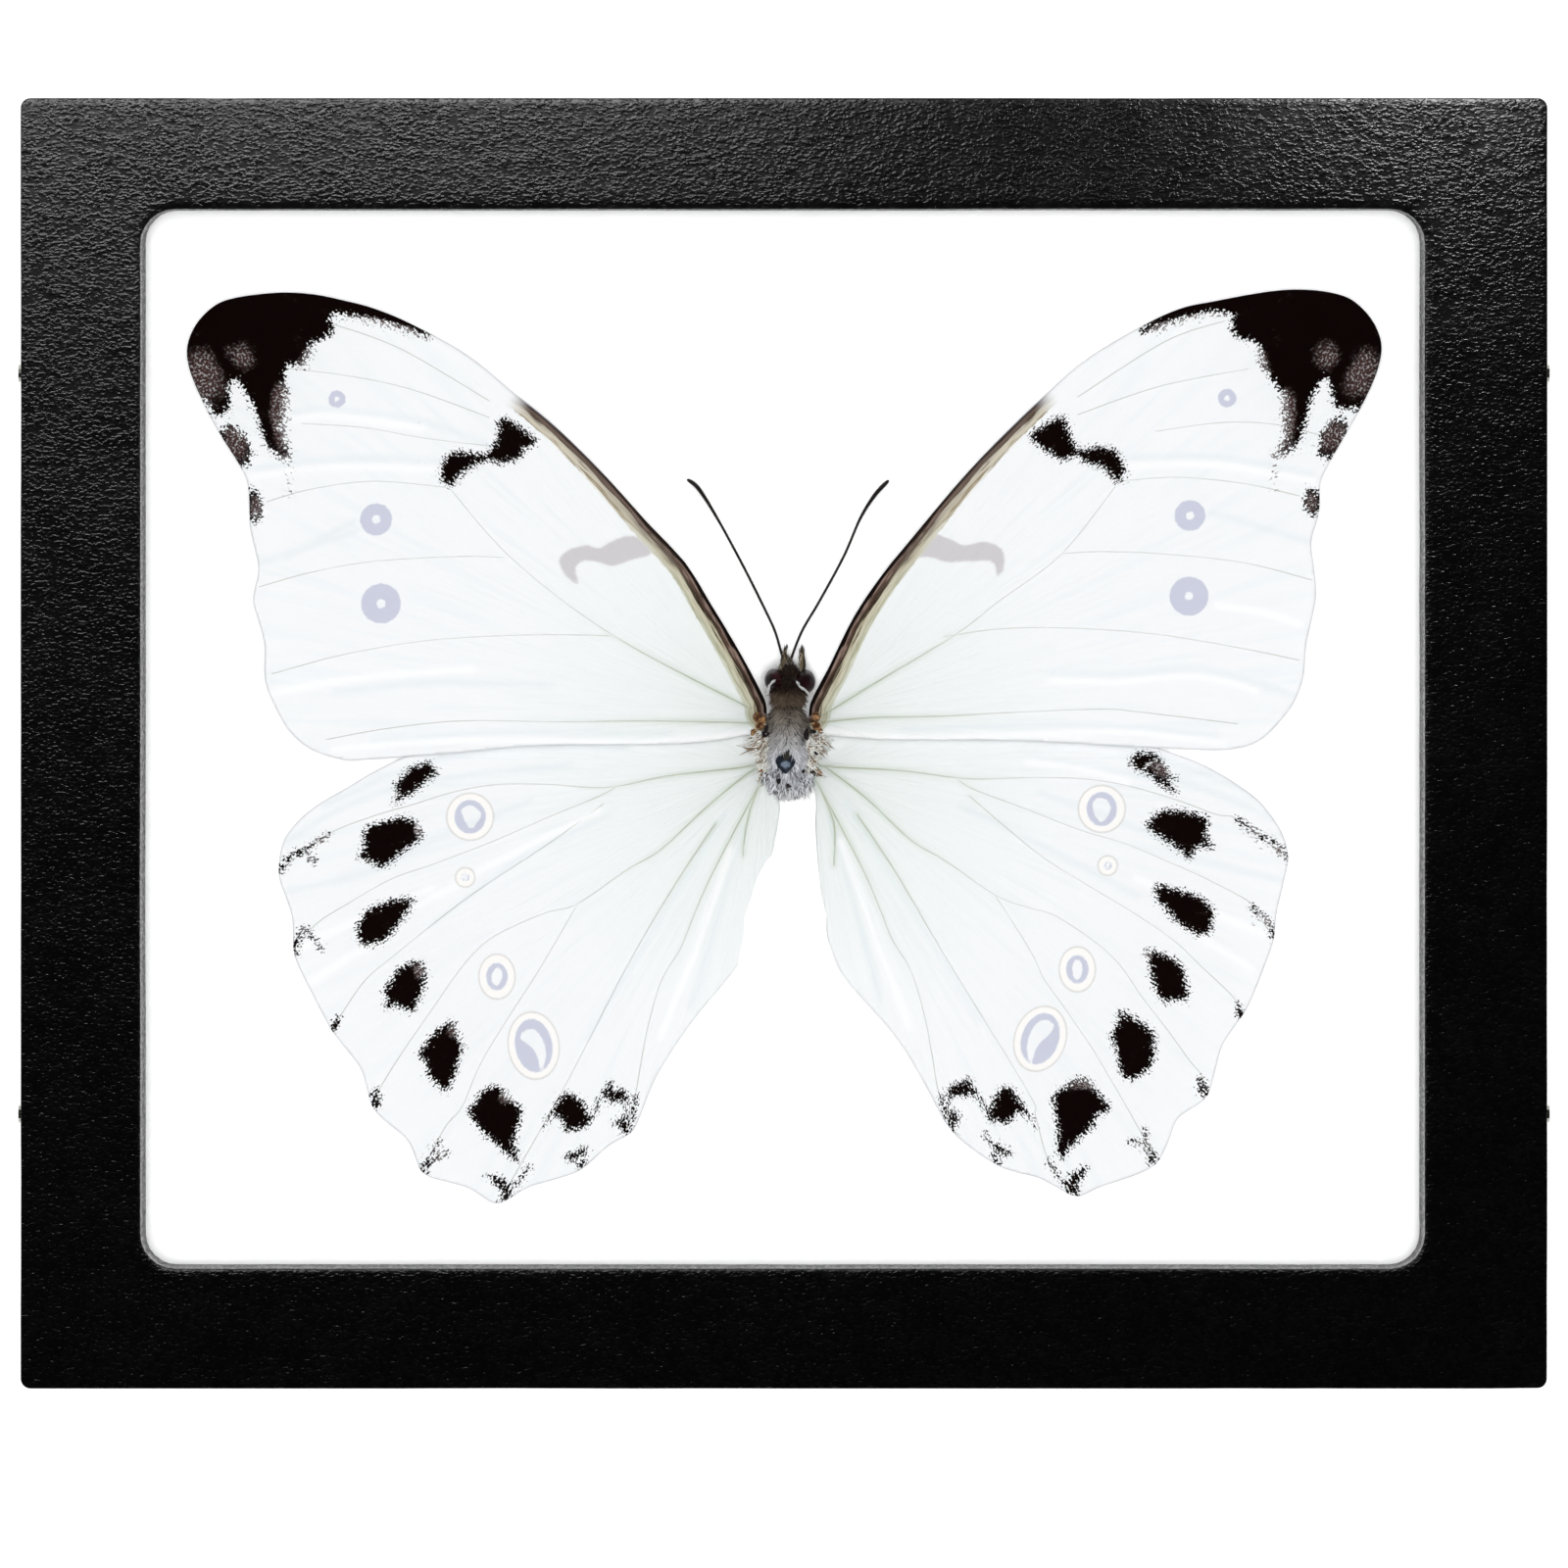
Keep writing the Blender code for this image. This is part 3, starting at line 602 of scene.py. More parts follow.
# Forewing markings, one set a side, since no insect's two sides are quite alike. Of the black
# areas, blots are closed outlines, lobes are ellipses (centre, radii, turn), lines are strokes
# and holes are white ellipses in them. Thin lobes are where black scales are sparse, dust is a
# loose sprinkling of them, lilac is the bar in the cell, and an eye is a ring (centre, outer
# and inner radius). Folds are troughs in the membrane and ridges its crests.
FOREWING_MARKS = {
    "forewing_left": {
        "blots": [
            [(-36.3, 41.5), (-40.3, 42.8), (-43.0, 43.4), (-45.1, 43.8), (-46.4, 43.6),
             (-46.0, 42.6), (-46.4, 41.7), (-48.3, 40.7), (-48.9, 38.8), (-50.6, 38.6),
             (-51.0, 37.1), (-50.8, 35.8), (-51.0, 33.7), (-51.2, 32.1), (-50.6, 30.0),
             (-50.8, 28.9), (-52.5, 30.0), (-53.3, 31.4), (-54.0, 33.7), (-54.8, 35.4),
             (-55.6, 36.7), (-56.3, 37.1), (-56.7, 35.8), (-56.7, 34.2), (-58.0, 33.5),
             (-59.0, 34.6), (-62.5, 38.0), (-63.0, 42.0), (-60.0, 47.0), (-51.0, 48.0),
             (-42.0, 46.5), (-37.0, 43.0)],
            [(-28.9, 33.3), (-27.3, 32.7), (-25.3, 30.9), (-26.4, 30.1), (-26.9, 29.2),
             (-28.8, 28.6), (-30.2, 28.9), (-31.9, 28.2), (-33.2, 27.2), (-34.0, 26.3),
             (-35.0, 27.0), (-34.9, 28.7), (-33.9, 29.7), (-32.2, 29.8), (-30.5, 29.7),
             (-29.5, 30.9), (-29.3, 32.3)],
        ],
        "lobes": [((-56.1, 30.4), 2.3, 1.4, -62), ((-54.2, 24.3), 1.65, 0.85, -85)],
        "thin_lobes": [((-55.6, 39.7), 2.2, 2.0, 0), ((-59.2, 37.6), 2.6, 4.0, 20),
                       ((-51.3, 33.5), 1.5, 4.5, 4), ((-48.6, 39.0), 1.5, 2.4, -45),
                       ((-41.5, 42.6), 1.0, 5.0, 78), ((-56.0, 30.6), 1.6, 2.6, 30),
                       ((-50.6, 28.4), 1.6, 2.0, 0), ((-54.0, 24.3), 0.9, 1.5, 0)],
        "dust": [([(-50.4, 29.5), (-50.5, 27.6), (-50.6, 25.6)], 1.5),
                 ([(-56.3, 29.8), (-54.5, 29.9), (-52.0, 30.4)], 1.3),
                 ([(-37.4, 33.0), (-36.0, 32.6)], 0.6), ([(-37.7, 28.9), (-36.9, 28.5)], 0.6)],
        "lilac": [[(-23.0, 18.7), (-22.0, 19.8), (-20.1, 20.3), (-18.9, 20.0), (-17.2, 20.9),
                   (-15.2, 21.2), (-13.5, 19.5), (-15.7, 18.7), (-17.6, 18.1), (-18.9, 18.5),
                   (-20.6, 18.6), (-21.3, 17.8), (-21.0, 16.3), (-22.3, 17.1)]],
        "eyes": [((-45.7, 35.2), 0.88, 0.27), ((-41.7, 22.9), 1.64, 0.45),
                 ((-41.2, 14.3), 2.04, 0.46)],
        "costa": [(-1.9, 3.2), (-28.1, 36.1)],
        "veins": [
            [(-46.6, 43.0), (-42.0, 41.5), (-37.8, 39.6), (-30.1, 35.0)],
            [(-51.4, 38.4), (-44.1, 37.5), (-37.8, 36.1), (-30.1, 33.3)],
            [(-49.3, 32.7), (-43.0, 32.3), (-36.7, 31.2), (-30.0, 30.4)],
            [(-52.9, 24.7), (-48.3, 26.0), (-42.0, 26.8), (-34.6, 26.2)],
            [(-34.1, 26.0), (-27.6, 18.7), (-17.4, 11.0), (-3.3, 3.5)],
            [(-54.0, 15.9), (-48.3, 17.5), (-42.0, 18.6), (-33.5, 19.1), (-28.6, 19.0)],
            [(-52.4, 7.1), (-44.5, 9.2), (-35.6, 10.6), (-25.4, 11.1), (-17.7, 11.0)],
            [(-46.8, 0.4), (-40.7, 1.5), (-33.0, 2.3), (-22.8, 2.2), (-13.8, 2.3),
             (-3.3, 2.1)],
        ],
        "folds": [[(-54.6, 28.1), (-48.3, 28.9), (-42.0, 29.2), (-35.0, 28.9)],
                  [(-50.0, 33.9), (-45.5, 34.1), (-37.0, 32.9), (-30.0, 30.4)],
                  [(-53.8, 18.4), (-44.0, 21.6)], [(-51.0, 19.0), (-44.0, 22.6)],
                  [(-46.0, 5.2), (-36.0, 6.2), (-24.0, 6.0)],
                  [(-42.0, 0.2), (-30.0, 1.1), (-12.0, 1.0)]],
        "ridges": [[(-54.3, 27.3), (-48.3, 28.1), (-42.0, 28.3), (-36.0, 28.0)],
                   [(-50.0, 33.3), (-45.5, 33.5), (-37.0, 32.2)],
                   [(-53.0, 5.0), (-44.0, 6.6), (-32.0, 7.6)],
                   [(-46.0, -0.6), (-34.0, 0.3), (-14.0, 0.2), (-4.0, 1.0)]],
    },
    "forewing_right": {
        "blots": [
            [(36.5, 41.9), (40.4, 43.3), (43.2, 43.9), (45.6, 43.9), (45.8, 42.8), (46.0, 41.7),
             (48.5, 40.7), (48.7, 39.0), (49.6, 37.5), (50.8, 35.8), (51.1, 33.3), (51.1, 31.0),
             (50.2, 29.3), (51.9, 30.0), (52.9, 31.4), (53.4, 33.1), (54.0, 35.2), (55.0, 37.1),
             (55.7, 36.9), (56.3, 34.6), (57.6, 34.1), (59.0, 34.4), (62.0, 37.0), (63.5, 41.0),
             (61.0, 47.0), (52.0, 48.5), (43.0, 47.0), (38.0, 44.0)],
            [(25.2, 31.5), (28.1, 33.4), (28.8, 33.0), (29.5, 31.1), (30.3, 30.1), (32.2, 30.4),
             (33.9, 29.9), (34.9, 28.0), (34.2, 26.7), (33.2, 27.5), (32.5, 28.2), (30.8, 28.7),
             (29.8, 29.4), (28.6, 28.9), (26.7, 29.9)],
        ],
        "lobes": [((56.1, 31.2), 2.25, 1.25, 66), ((54.0, 24.7), 1.4, 0.85, 88)],
        "thin_lobes": [((55.6, 39.8), 2.2, 2.0, 0), ((59.0, 37.8), 2.4, 3.6, -20),
                       ((51.2, 33.0), 1.5, 4.2, -4), ((48.4, 39.2), 1.4, 2.2, 45),
                       ((41.3, 42.9), 1.0, 5.0, -78), ((56.0, 31.3), 1.6, 2.6, -30),
                       ((50.4, 29.2), 1.5, 2.0, 0), ((53.9, 24.7), 0.9, 1.5, 0)],
        "dust": [([(50.2, 29.3), (50.1, 27.6), (50.0, 26.2)], 1.5),
                 ([(56.3, 30.2), (54.5, 30.0), (52.0, 30.2)], 1.3)],
        "lilac": [[(13.3, 19.2), (15.0, 21.4), (17.0, 20.9), (18.4, 20.3), (20.6, 20.6),
                   (22.3, 19.8), (22.5, 18.0), (21.8, 17.1), (21.3, 18.5), (18.9, 18.6),
                   (16.7, 18.5), (15.0, 19.0)]],
        "eyes": [((45.3, 35.3), 0.95, 0.27), ((41.5, 23.3), 1.58, 0.42),
                 ((41.4, 15.05), 2.0, 0.42)],
        "costa": [(2.65, 3.0), (27.5, 36.2)],
        "veins": [
            [(3.9, 2.8), (9.7, 6.4), (17.5, 11.1), (21.8, 14.4), (28.4, 19.4), (33.9, 26.3)],
            [(16.4, 10.9), (21.9, 11.7), (28.9, 11.8), (37.7, 11.2), (46.4, 9.8), (52.7, 8.5)],
            [(28.4, 19.4), (32.2, 19.6), (38.4, 19.4), (46.8, 18.5), (54.0, 16.7)],
            [(34.2, 26.8), (40.1, 27.2), (46.8, 26.6), (52.7, 25.3)],
            [(38.0, 31.9), (44.7, 32.8), (50.2, 32.6), (55.2, 31.4)],
            [(30.0, 33.6), (38.4, 36.5), (47.5, 38.3)],
            [(30.0, 35.4), (39.0, 41.1), (45.1, 43.2)],
            [(3.6, 2.1), (8.5, 2.6), (16.4, 2.8), (24.0, 3.2), (32.4, 3.5), (36.4, 3.2),
             (46.4, 2.0)],
        ],
        "folds": [[(43.7, 23.6), (53.8, 20.6)], [(35.0, 29.2), (44.0, 29.3), (54.0, 27.6)],
                  [(27.2, 7.2), (33.9, 7.1), (42.2, 7.6), (48.2, 6.2), (51.9, 5.0)],
                  [(12.0, 1.4), (30.0, 1.9), (44.0, 0.8)]],
        "ridges": [[(44.2, 14.1), (48.9, 13.4), (52.7, 12.2)],
                   [(27.2, 6.4), (33.9, 6.3), (42.2, 6.8), (48.2, 5.4)],
                   [(35.0, 28.4), (44.0, 28.5), (54.0, 26.8)],
                   [(4.5, 1.2), (14.0, 0.6), (34.0, 1.1), (45.0, 0.0)]],
    },
}

# Hindwing markings, in the same words, but an eye is a cream oval, a lavender oval in it, and a
# white outline in that.
HINDWING_MARKS = {
    "hindwing_left": {
        "blots": [
            [(-39.8, -4.3), (-39.0, -3.4), (-38.3, -2.5), (-37.5, -2.2), (-36.4, -1.9),
             (-35.8, -2.4), (-35.4, -3.0), (-36.3, -3.7), (-37.0, -4.2), (-37.5, -4.8),
             (-38.3, -5.3), (-39.1, -5.8), (-40.0, -6.0), (-39.5, -5.2)],
            [(-43.5, -11.7), (-43.0, -10.6), (-43.1, -9.5), (-42.6, -8.5), (-41.3, -8.1),
             (-40.3, -7.8), (-39.1, -7.5), (-37.8, -7.9), (-37.3, -8.7), (-37.0, -9.5),
             (-37.6, -10.1), (-38.4, -10.7), (-39.4, -11.5), (-40.4, -12.3), (-41.4, -12.7),
             (-42.3, -12.1)],
            [(-43.7, -18.8), (-43.1, -17.7), (-42.6, -17.0), (-41.4, -16.4), (-40.0, -16.0),
             (-39.0, -15.9), (-38.0, -15.8), (-38.3, -17.0), (-39.1, -18.1), (-39.8, -19.2),
             (-40.7, -20.0), (-42.1, -20.6), (-43.3, -20.4)],
            [(-40.9, -25.3), (-40.2, -24.1), (-39.5, -23.1), (-38.4, -22.5), (-37.1, -22.3),
             (-36.6, -23.7), (-36.9, -25.2), (-37.3, -26.2), (-38.0, -27.4), (-38.9, -27.2),
             (-39.8, -26.8), (-40.8, -27.1), (-40.7, -26.0)],
            [(-37.3, -31.8), (-36.4, -30.2), (-35.0, -28.9), (-33.8, -28.5), (-33.4, -29.8),
             (-32.9, -31.2), (-33.3, -32.7), (-33.8, -34.4), (-34.6, -35.6), (-35.7, -34.7),
             (-36.4, -33.9), (-36.6, -32.8)],
            [(-32.3, -37.7), (-31.3, -36.2), (-30.4, -35.2), (-29.1, -35.1), (-28.2, -36.2),
             (-26.9, -37.3), (-27.0, -38.7), (-27.4, -40.0), (-27.5, -41.2), (-27.1, -42.7),
             (-28.4, -42.0), (-29.5, -40.9), (-30.7, -40.0), (-31.6, -38.7)],
            [(-22.4, -35.7), (-21.7, -35.9), (-20.5, -36.6), (-20.3, -37.3), (-19.9, -38.0),
             (-19.6, -38.3), (-20.0, -38.8), (-20.2, -39.3), (-20.7, -39.3), (-21.5, -39.6),
             (-22.2, -39.6), (-22.5, -39.3), (-22.7, -38.5), (-23.0, -38.3), (-23.9, -38.2),
             (-24.5, -39.2), (-24.2, -38.4), (-23.8, -37.7), (-23.3, -36.8), (-22.9, -36.2)],
            [(-18.1, -34.9), (-17.7, -34.5), (-17.5, -35.1), (-17.1, -35.6), (-16.8, -35.2),
             (-16.2, -35.7), (-15.9, -36.4), (-15.9, -36.8), (-16.6, -36.7), (-17.2, -36.7),
             (-17.8, -36.7), (-18.2, -36.3), (-18.7, -36.1), (-18.4, -35.5)],
            [(-15.9, -36.8), (-15.9, -37.9), (-16.0, -38.7), (-15.8, -39.3), (-16.1, -39.7),
             (-16.4, -39.9), (-16.7, -39.5), (-17.0, -39.0), (-17.5, -38.8), (-17.0, -38.5),
             (-16.4, -38.2), (-16.2, -37.5), (-16.2, -36.8)],
            [(-42.3, -36.9), (-42.1, -35.9), (-41.7, -35.2), (-41.3, -36.2), (-41.5, -37.2),
             (-42.1, -37.3)],
            [(-30.4, -44.2), (-29.3, -44.3), (-28.2, -45.0), (-27.9, -45.7), (-28.2, -46.6),
             (-29.1, -47.0), (-28.8, -45.9), (-29.6, -45.0)],
            [(-22.4, -42.4), (-22.1, -42.0), (-21.2, -41.7), (-20.3, -41.2), (-20.1, -41.4),
             (-20.4, -42.0), (-20.8, -42.3), (-21.5, -42.7), (-22.0, -42.6)],
            [(-21.2, -43.5), (-20.9, -42.8), (-20.2, -42.6), (-20.1, -42.8), (-20.7, -43.3)],
        ],
        "lobes": [((-45.9, -28.8), 0.85, 0.35, 65)],
        "lines": [([(-51.5, -13.0), (-50.9, -12.0), (-49.9, -11.25), (-49.0, -11.1),
                    (-48.4, -11.6), (-48.1, -12.0)], 0.46),
                  ([(-49.0, -10.9), (-47.8, -10.1), (-46.6, -9.3)], 0.26),
                  ([(-50.0, -21.4), (-49.8, -20.2), (-49.3, -19.2), (-48.7, -19.1)], 0.5),
                  ([(-48.6, -19.4), (-47.4, -20.9)], 0.24),
                  ([(-37.1, -43.8), (-36.4, -42.9)], 0.7),
                  ([(-36.2, -42.8), (-34.5, -41.8)], 0.3),
                  ([(-36.1, -42.6), (-35.3, -40.7)], 0.28),
                  ([(-27.7, -45.4), (-26.1, -43.4)], 0.24),
                  ([(-18.9, -36.4), (-19.6, -38.3)], 0.24),
                  ([(-15.2, -36.2), (-15.3, -37.1), (-15.5, -38.3), (-15.8, -39.2),
                    (-16.2, -39.8)], 0.34)],
        "thin_lobes": [((-48.4, -11.6), 1.2, 1.0, 0), ((-47.4, -9.8), 1.4, 0.9, 0),
                       ((-49.0, -19.3), 1.0, 1.2, 0), ((-28.2, -36.2), 1.4, 1.0, 0),
                       ((-33.9, -29.4), 0.9, 1.2, 0), ((-37.4, -23.2), 0.8, 1.2, 0),
                       ((-35.3, -41.9), 1.6, 1.6, 0), ((-37.4, -8.8), 0.5, 1.2, 0)],
        "dust": [([(-48.7, -11.2), (-48.0, -12.2)], 1.2), ([(-48.7, -19.4), (-47.4, -21.0)], 0.9),
                 ([(-35.2, -40.2), (-36.8, -41.8)], 0.9)],
        "eyes": [
            ((-32.1, -7.5), (2.4, 2.4, 0), (1.6, 1.72, 0),
             [(-33.0, -6.85), (-32.5, -6.4), (-31.8, -6.4), (-31.05, -7.05), (-31.05, -7.65),
              (-31.5, -8.2), (-31.8, -8.6), (-32.2, -8.6), (-32.45, -8.2), (-32.75, -7.65)]),
            ((-32.6, -13.7), (1.0, 1.0, 0), (0.45, 0.45, 0),
             [(-32.85, -13.5), (-32.6, -13.35), (-32.4, -13.7), (-32.6, -14.1)]),
            ((-29.35, -23.85), (1.85, 2.3, 0), (1.1, 1.4, 0),
             [(-29.5, -23.0), (-29.0, -23.1), (-28.8, -23.8), (-29.2, -24.7), (-29.7, -24.6),
              (-29.9, -23.8)]),
            ((-25.6, -30.9), (2.6, 3.45, 8), (1.9, 2.75, 10),
             [(-27.0, -30.0), (-26.3, -29.3), (-25.5, -29.3), (-24.8, -30.1), (-24.4, -31.2),
              (-24.4, -32.4), (-24.9, -33.4), (-25.1, -32.4), (-25.6, -31.3), (-26.4, -30.6)]),
        ],
        "veins": [
            [(-51.5, -13.0), (-46.8, -9.4), (-42.2, -7.5), (-37.8, -6.2), (-33.5, -4.9),
             (-29.2, -4.2), (-24.0, -4.2), (-18.1, -4.5), (-11.7, -3.3), (-4.7, -2.5),
             (-2.4, -2.1)],
            [(-50.0, -21.4), (-48.0, -18.6), (-44.3, -16.2), (-40.0, -13.8), (-35.7, -12.3),
             (-30.0, -10.1), (-24.0, -7.5), (-18.9, -5.4), (-17.3, -4.5)],
            [(-46.0, -28.8), (-45.0, -27.3), (-42.8, -24.2), (-40.0, -21.8), (-32.4, -15.8),
             (-24.0, -10.2), (-18.5, -6.2)],
            [(-41.9, -36.4), (-41.3, -35.2), (-39.3, -32.0), (-36.0, -27.2), (-32.8, -22.7),
             (-30.2, -20.1), (-27.0, -18.4), (-24.0, -17.2), (-21.1, -16.4), (-16.0, -12.9),
             (-12.5, -10.8), (-7.9, -6.5), (-3.6, -3.0), (-2.2, -2.3)],
            [(-36.8, -43.4), (-34.7, -39.3), (-32.9, -37.1), (-31.0, -32.7), (-28.1, -27.9),
             (-25.7, -24.2), (-24.0, -21.4), (-21.1, -16.4)],
            [(-16.2, -39.7), (-15.3, -36.5), (-14.6, -32.5), (-13.8, -28.5), (-12.5, -24.2),
             (-10.6, -21.0), (-9.5, -18.3), (-7.9, -14.5), (-5.3, -9.4), (-2.6, -4.4)],
            [(-29.2, -47.0), (-22.5, -35.2), (-16.0, -22.7), (-11.0, -14.2), (-7.0, -8.2)],
            [(-2.5, -4.3), (-3.5, -6.9), (-4.1, -10.0), (-4.2, -11.5)],
        ],
        "folds": [[(-47.0, -6.4), (-40.0, -3.2), (-30.0, -0.6), (-16.0, -0.4)],
                  [(-50.8, -10.0), (-44.0, -6.0), (-36.0, -3.8), (-22.0, -2.2)],
                  [(-50.6, -15.0), (-42.0, -13.0), (-36.0, -9.8), (-26.0, -5.9)],
                  [(-36.0, -18.6), (-27.0, -11.8), (-18.0, -7.4)],
                  [(-9.5, -26.8), (-6.9, -18.0), (-4.2, -8.6)],
                  [(-20.0, -30.0), (-12.0, -17.0), (-6.0, -7.2)]],
        "ridges": [[(-49.6, -21.0), (-44.0, -18.2), (-36.0, -14.8)],
                   [(-48.4, -24.4), (-41.0, -19.6)],
                   [(-38.0, -16.9), (-28.0, -11.4), (-19.0, -7.0)],
                   [(-12.6, -30.0), (-9.0, -21.0), (-5.4, -11.0)]],
    },
    "hindwing_right": {
        "blots": [
            [(35.4, -1.6), (36.4, -0.9), (38.0, -1.1), (38.9, -2.1), (39.6, -3.2), (40.2, -3.7),
             (39.3, -3.7), (40.2, -5.0), (38.9, -4.6), (37.9, -3.7), (36.8, -3.0), (35.7, -2.5)],
            [(37.0, -8.5), (37.5, -7.7), (38.8, -6.8), (40.4, -6.8), (41.8, -7.1), (43.4, -7.7),
             (43.2, -9.3), (43.8, -10.7), (42.3, -10.7), (41.4, -11.8), (40.4, -10.9),
             (39.3, -10.2), (38.2, -9.4)],
            [(38.0, -14.6), (38.6, -14.4), (40.2, -14.9), (41.6, -15.3), (43.0, -16.0),
             (43.9, -17.1), (43.8, -18.4), (43.4, -19.4), (42.0, -19.5), (40.7, -18.7),
             (39.6, -17.7), (38.9, -16.8), (38.1, -15.9)],
            [(37.0, -21.2), (38.2, -21.3), (39.6, -21.9), (40.7, -22.8), (41.2, -24.3),
             (41.2, -26.2), (40.0, -26.2), (39.1, -26.5), (38.4, -26.0), (37.9, -25.0),
             (37.5, -23.9), (37.3, -22.5)],
            [(33.4, -30.0), (34.1, -28.5), (34.3, -27.3), (35.4, -27.8), (36.6, -28.5),
             (37.9, -29.8), (37.9, -31.2), (37.7, -32.7), (36.6, -33.9), (35.4, -34.4),
             (34.6, -33.9), (34.1, -32.5), (33.9, -31.0)],
            [(27.7, -35.7), (28.8, -35.0), (29.8, -34.3), (31.1, -34.4), (32.1, -35.7),
             (33.2, -36.9), (33.0, -37.7), (32.1, -38.0), (31.8, -38.9), (30.5, -40.2),
             (29.3, -41.4), (28.4, -42.5), (27.9, -41.4), (27.9, -39.8), (27.7, -38.0),
             (27.5, -36.8)],
            [(22.3, -35.2), (22.8, -35.1), (23.2, -35.2), (23.7, -35.7), (24.0, -36.3),
             (24.5, -36.9), (25.1, -38.0), (25.7, -39.2), (25.1, -38.3), (24.4, -38.0),
             (23.9, -37.8), (23.4, -38.4), (23.1, -38.9), (22.4, -38.8), (21.7, -38.7),
             (21.2, -38.7), (20.8, -38.0), (20.5, -37.1), (21.2, -37.2), (21.2, -36.5),
             (21.7, -35.9)],
            [(16.7, -35.4), (17.4, -34.8), (18.3, -34.6), (18.8, -34.1), (19.2, -34.7),
             (19.6, -35.5), (20.0, -36.5), (19.5, -36.2), (19.1, -35.9), (18.6, -36.2),
             (18.0, -36.0), (17.3, -36.2), (16.8, -36.1)],
            [(16.7, -36.1), (17.1, -36.2), (17.0, -37.2), (17.5, -37.7), (18.0, -38.3),
             (17.9, -38.6), (17.6, -38.9), (17.3, -39.7), (17.0, -39.3), (16.8, -38.6),
             (16.7, -37.5)],
            [(42.4, -34.2), (42.9, -34.4), (43.3, -35.5), (43.2, -36.2), (42.7, -35.9),
             (42.4, -35.7)],
            [(37.3, -41.9), (37.9, -41.8), (38.2, -42.7), (37.9, -43.0), (37.3, -42.7)],
            [(28.8, -45.3), (29.1, -44.4), (30.4, -43.5), (31.1, -43.4), (30.7, -44.1),
             (30.0, -45.2), (30.2, -45.9), (29.8, -46.3), (29.1, -46.0)],
            [(21.2, -41.0), (21.9, -41.0), (22.6, -41.4), (23.3, -41.9), (22.8, -42.1),
             (22.2, -42.0), (21.6, -41.6)],
            [(21.3, -42.0), (21.7, -42.1), (22.1, -42.8), (22.0, -43.2), (21.5, -42.7)],
        ],
        "lobes": [((46.6, -27.5), 0.9, 0.35, -80)],
        "lines": [([(46.5, -7.8), (48.4, -9.3), (50.0, -10.1), (50.9, -10.9), (51.4, -11.8)],
                   0.36),
                  ([(48.0, -16.8), (49.1, -17.8), (49.7, -18.5), (50.0, -19.8)], 0.42),
                  ([(37.3, -41.7), (36.8, -41.0), (35.5, -40.7)], 0.34),
                  ([(37.0, -41.0), (36.9, -39.4)], 0.26), ([(28.7, -45.1), (27.1, -42.8)], 0.24),
                  ([(19.6, -35.7), (20.8, -37.7)], 0.26),
                  ([(16.1, -36.2), (16.4, -37.5), (16.6, -38.5), (17.3, -39.7)], 0.34),
                  ([(20.5, -39.8), (21.2, -41.0)], 0.2)],
        "thin_lobes": [((48.0, -9.0), 3.0, 1.0, 40), ((50.6, -10.9), 1.0, 1.2, 0),
                       ((49.2, -18.3), 1.4, 1.6, 0), ((30.5, -34.8), 1.8, 0.9, 0),
                       ((37.2, -21.7), 0.7, 1.0, 0), ((36.6, -41.0), 1.4, 1.6, 0),
                       ((38.4, -2.6), 1.6, 1.0, -40)],
        "holes": [((37.3, -2.1), 0.4, 0.12, 45)],
        "dust": [([(48.4, -9.9), (49.1, -10.8)], 1.3), ([(47.8, -18.4), (48.4, -19.0)], 0.8)],
        "eyes": [
            ((32.5, -6.7), (2.4, 2.4, 0), (1.55, 1.75, 0),
             [(31.6, -6.0), (32.2, -5.6), (33.0, -5.8), (33.4, -6.7), (32.9, -7.7),
              (32.3, -8.0), (31.7, -7.1)]),
            ((33.1, -12.5), (1.0, 1.0, 0), (0.42, 0.42, 0),
             [(32.9, -12.3), (33.15, -12.2), (33.3, -12.6), (33.0, -12.8)]),
            ((30.0, -23.1), (1.85, 2.3, 0), (1.15, 1.45, 0),
             [(29.7, -22.2), (30.3, -22.3), (30.5, -23.2), (30.2, -24.1), (29.7, -24.0),
              (29.5, -23.1)]),
            ((26.2, -30.2), (2.6, 3.4, -20), (1.9, 2.7, -20),
             [(27.6, -28.9), (26.9, -28.3), (26.0, -28.5), (25.3, -29.4), (24.9, -30.6),
              (24.9, -31.8), (25.3, -32.7), (25.6, -31.7), (26.1, -30.7), (27.0, -29.9)]),
        ],
        "veins": [
            [(51.4, -11.8), (46.5, -7.8), (44.3, -7.3), (40.2, -5.8), (35.0, -4.3), (30.4, -3.6),
             (25.0, -3.5), (18.6, -3.6), (12.2, -2.8), (5.0, -2.4), (3.2, -2.1)],
            [(50.0, -19.8), (48.0, -16.8), (47.3, -16.0), (42.9, -13.7), (40.2, -12.5),
             (35.0, -10.3), (30.4, -8.9), (25.0, -6.8), (19.4, -4.7), (17.8, -3.7)],
            [(46.6, -27.4), (46.0, -26.0), (42.9, -23.0), (39.8, -20.1), (35.7, -17.3),
             (30.9, -14.4), (25.9, -11.2), (19.0, -5.4)],
            [(43.0, -35.0), (42.6, -33.7), (41.6, -32.6), (39.3, -29.4), (36.6, -25.9),
             (34.3, -22.6), (31.8, -20.3), (27.7, -17.6), (25.0, -16.8), (21.6, -15.5),
             (16.5, -12.0), (13.0, -9.9), (8.4, -5.6), (4.1, -2.3)],
            [(38.0, -42.4), (36.4, -39.6), (35.0, -37.1), (32.9, -33.5), (31.2, -30.7),
             (28.6, -26.9), (26.6, -24.1), (25.2, -21.2), (21.6, -15.5)],
            [(17.2, -39.6), (15.8, -35.6), (15.1, -31.6), (14.3, -27.6), (13.0, -23.3),
             (11.1, -20.1), (10.0, -17.4), (8.4, -13.6), (5.8, -8.5), (3.1, -3.5)],
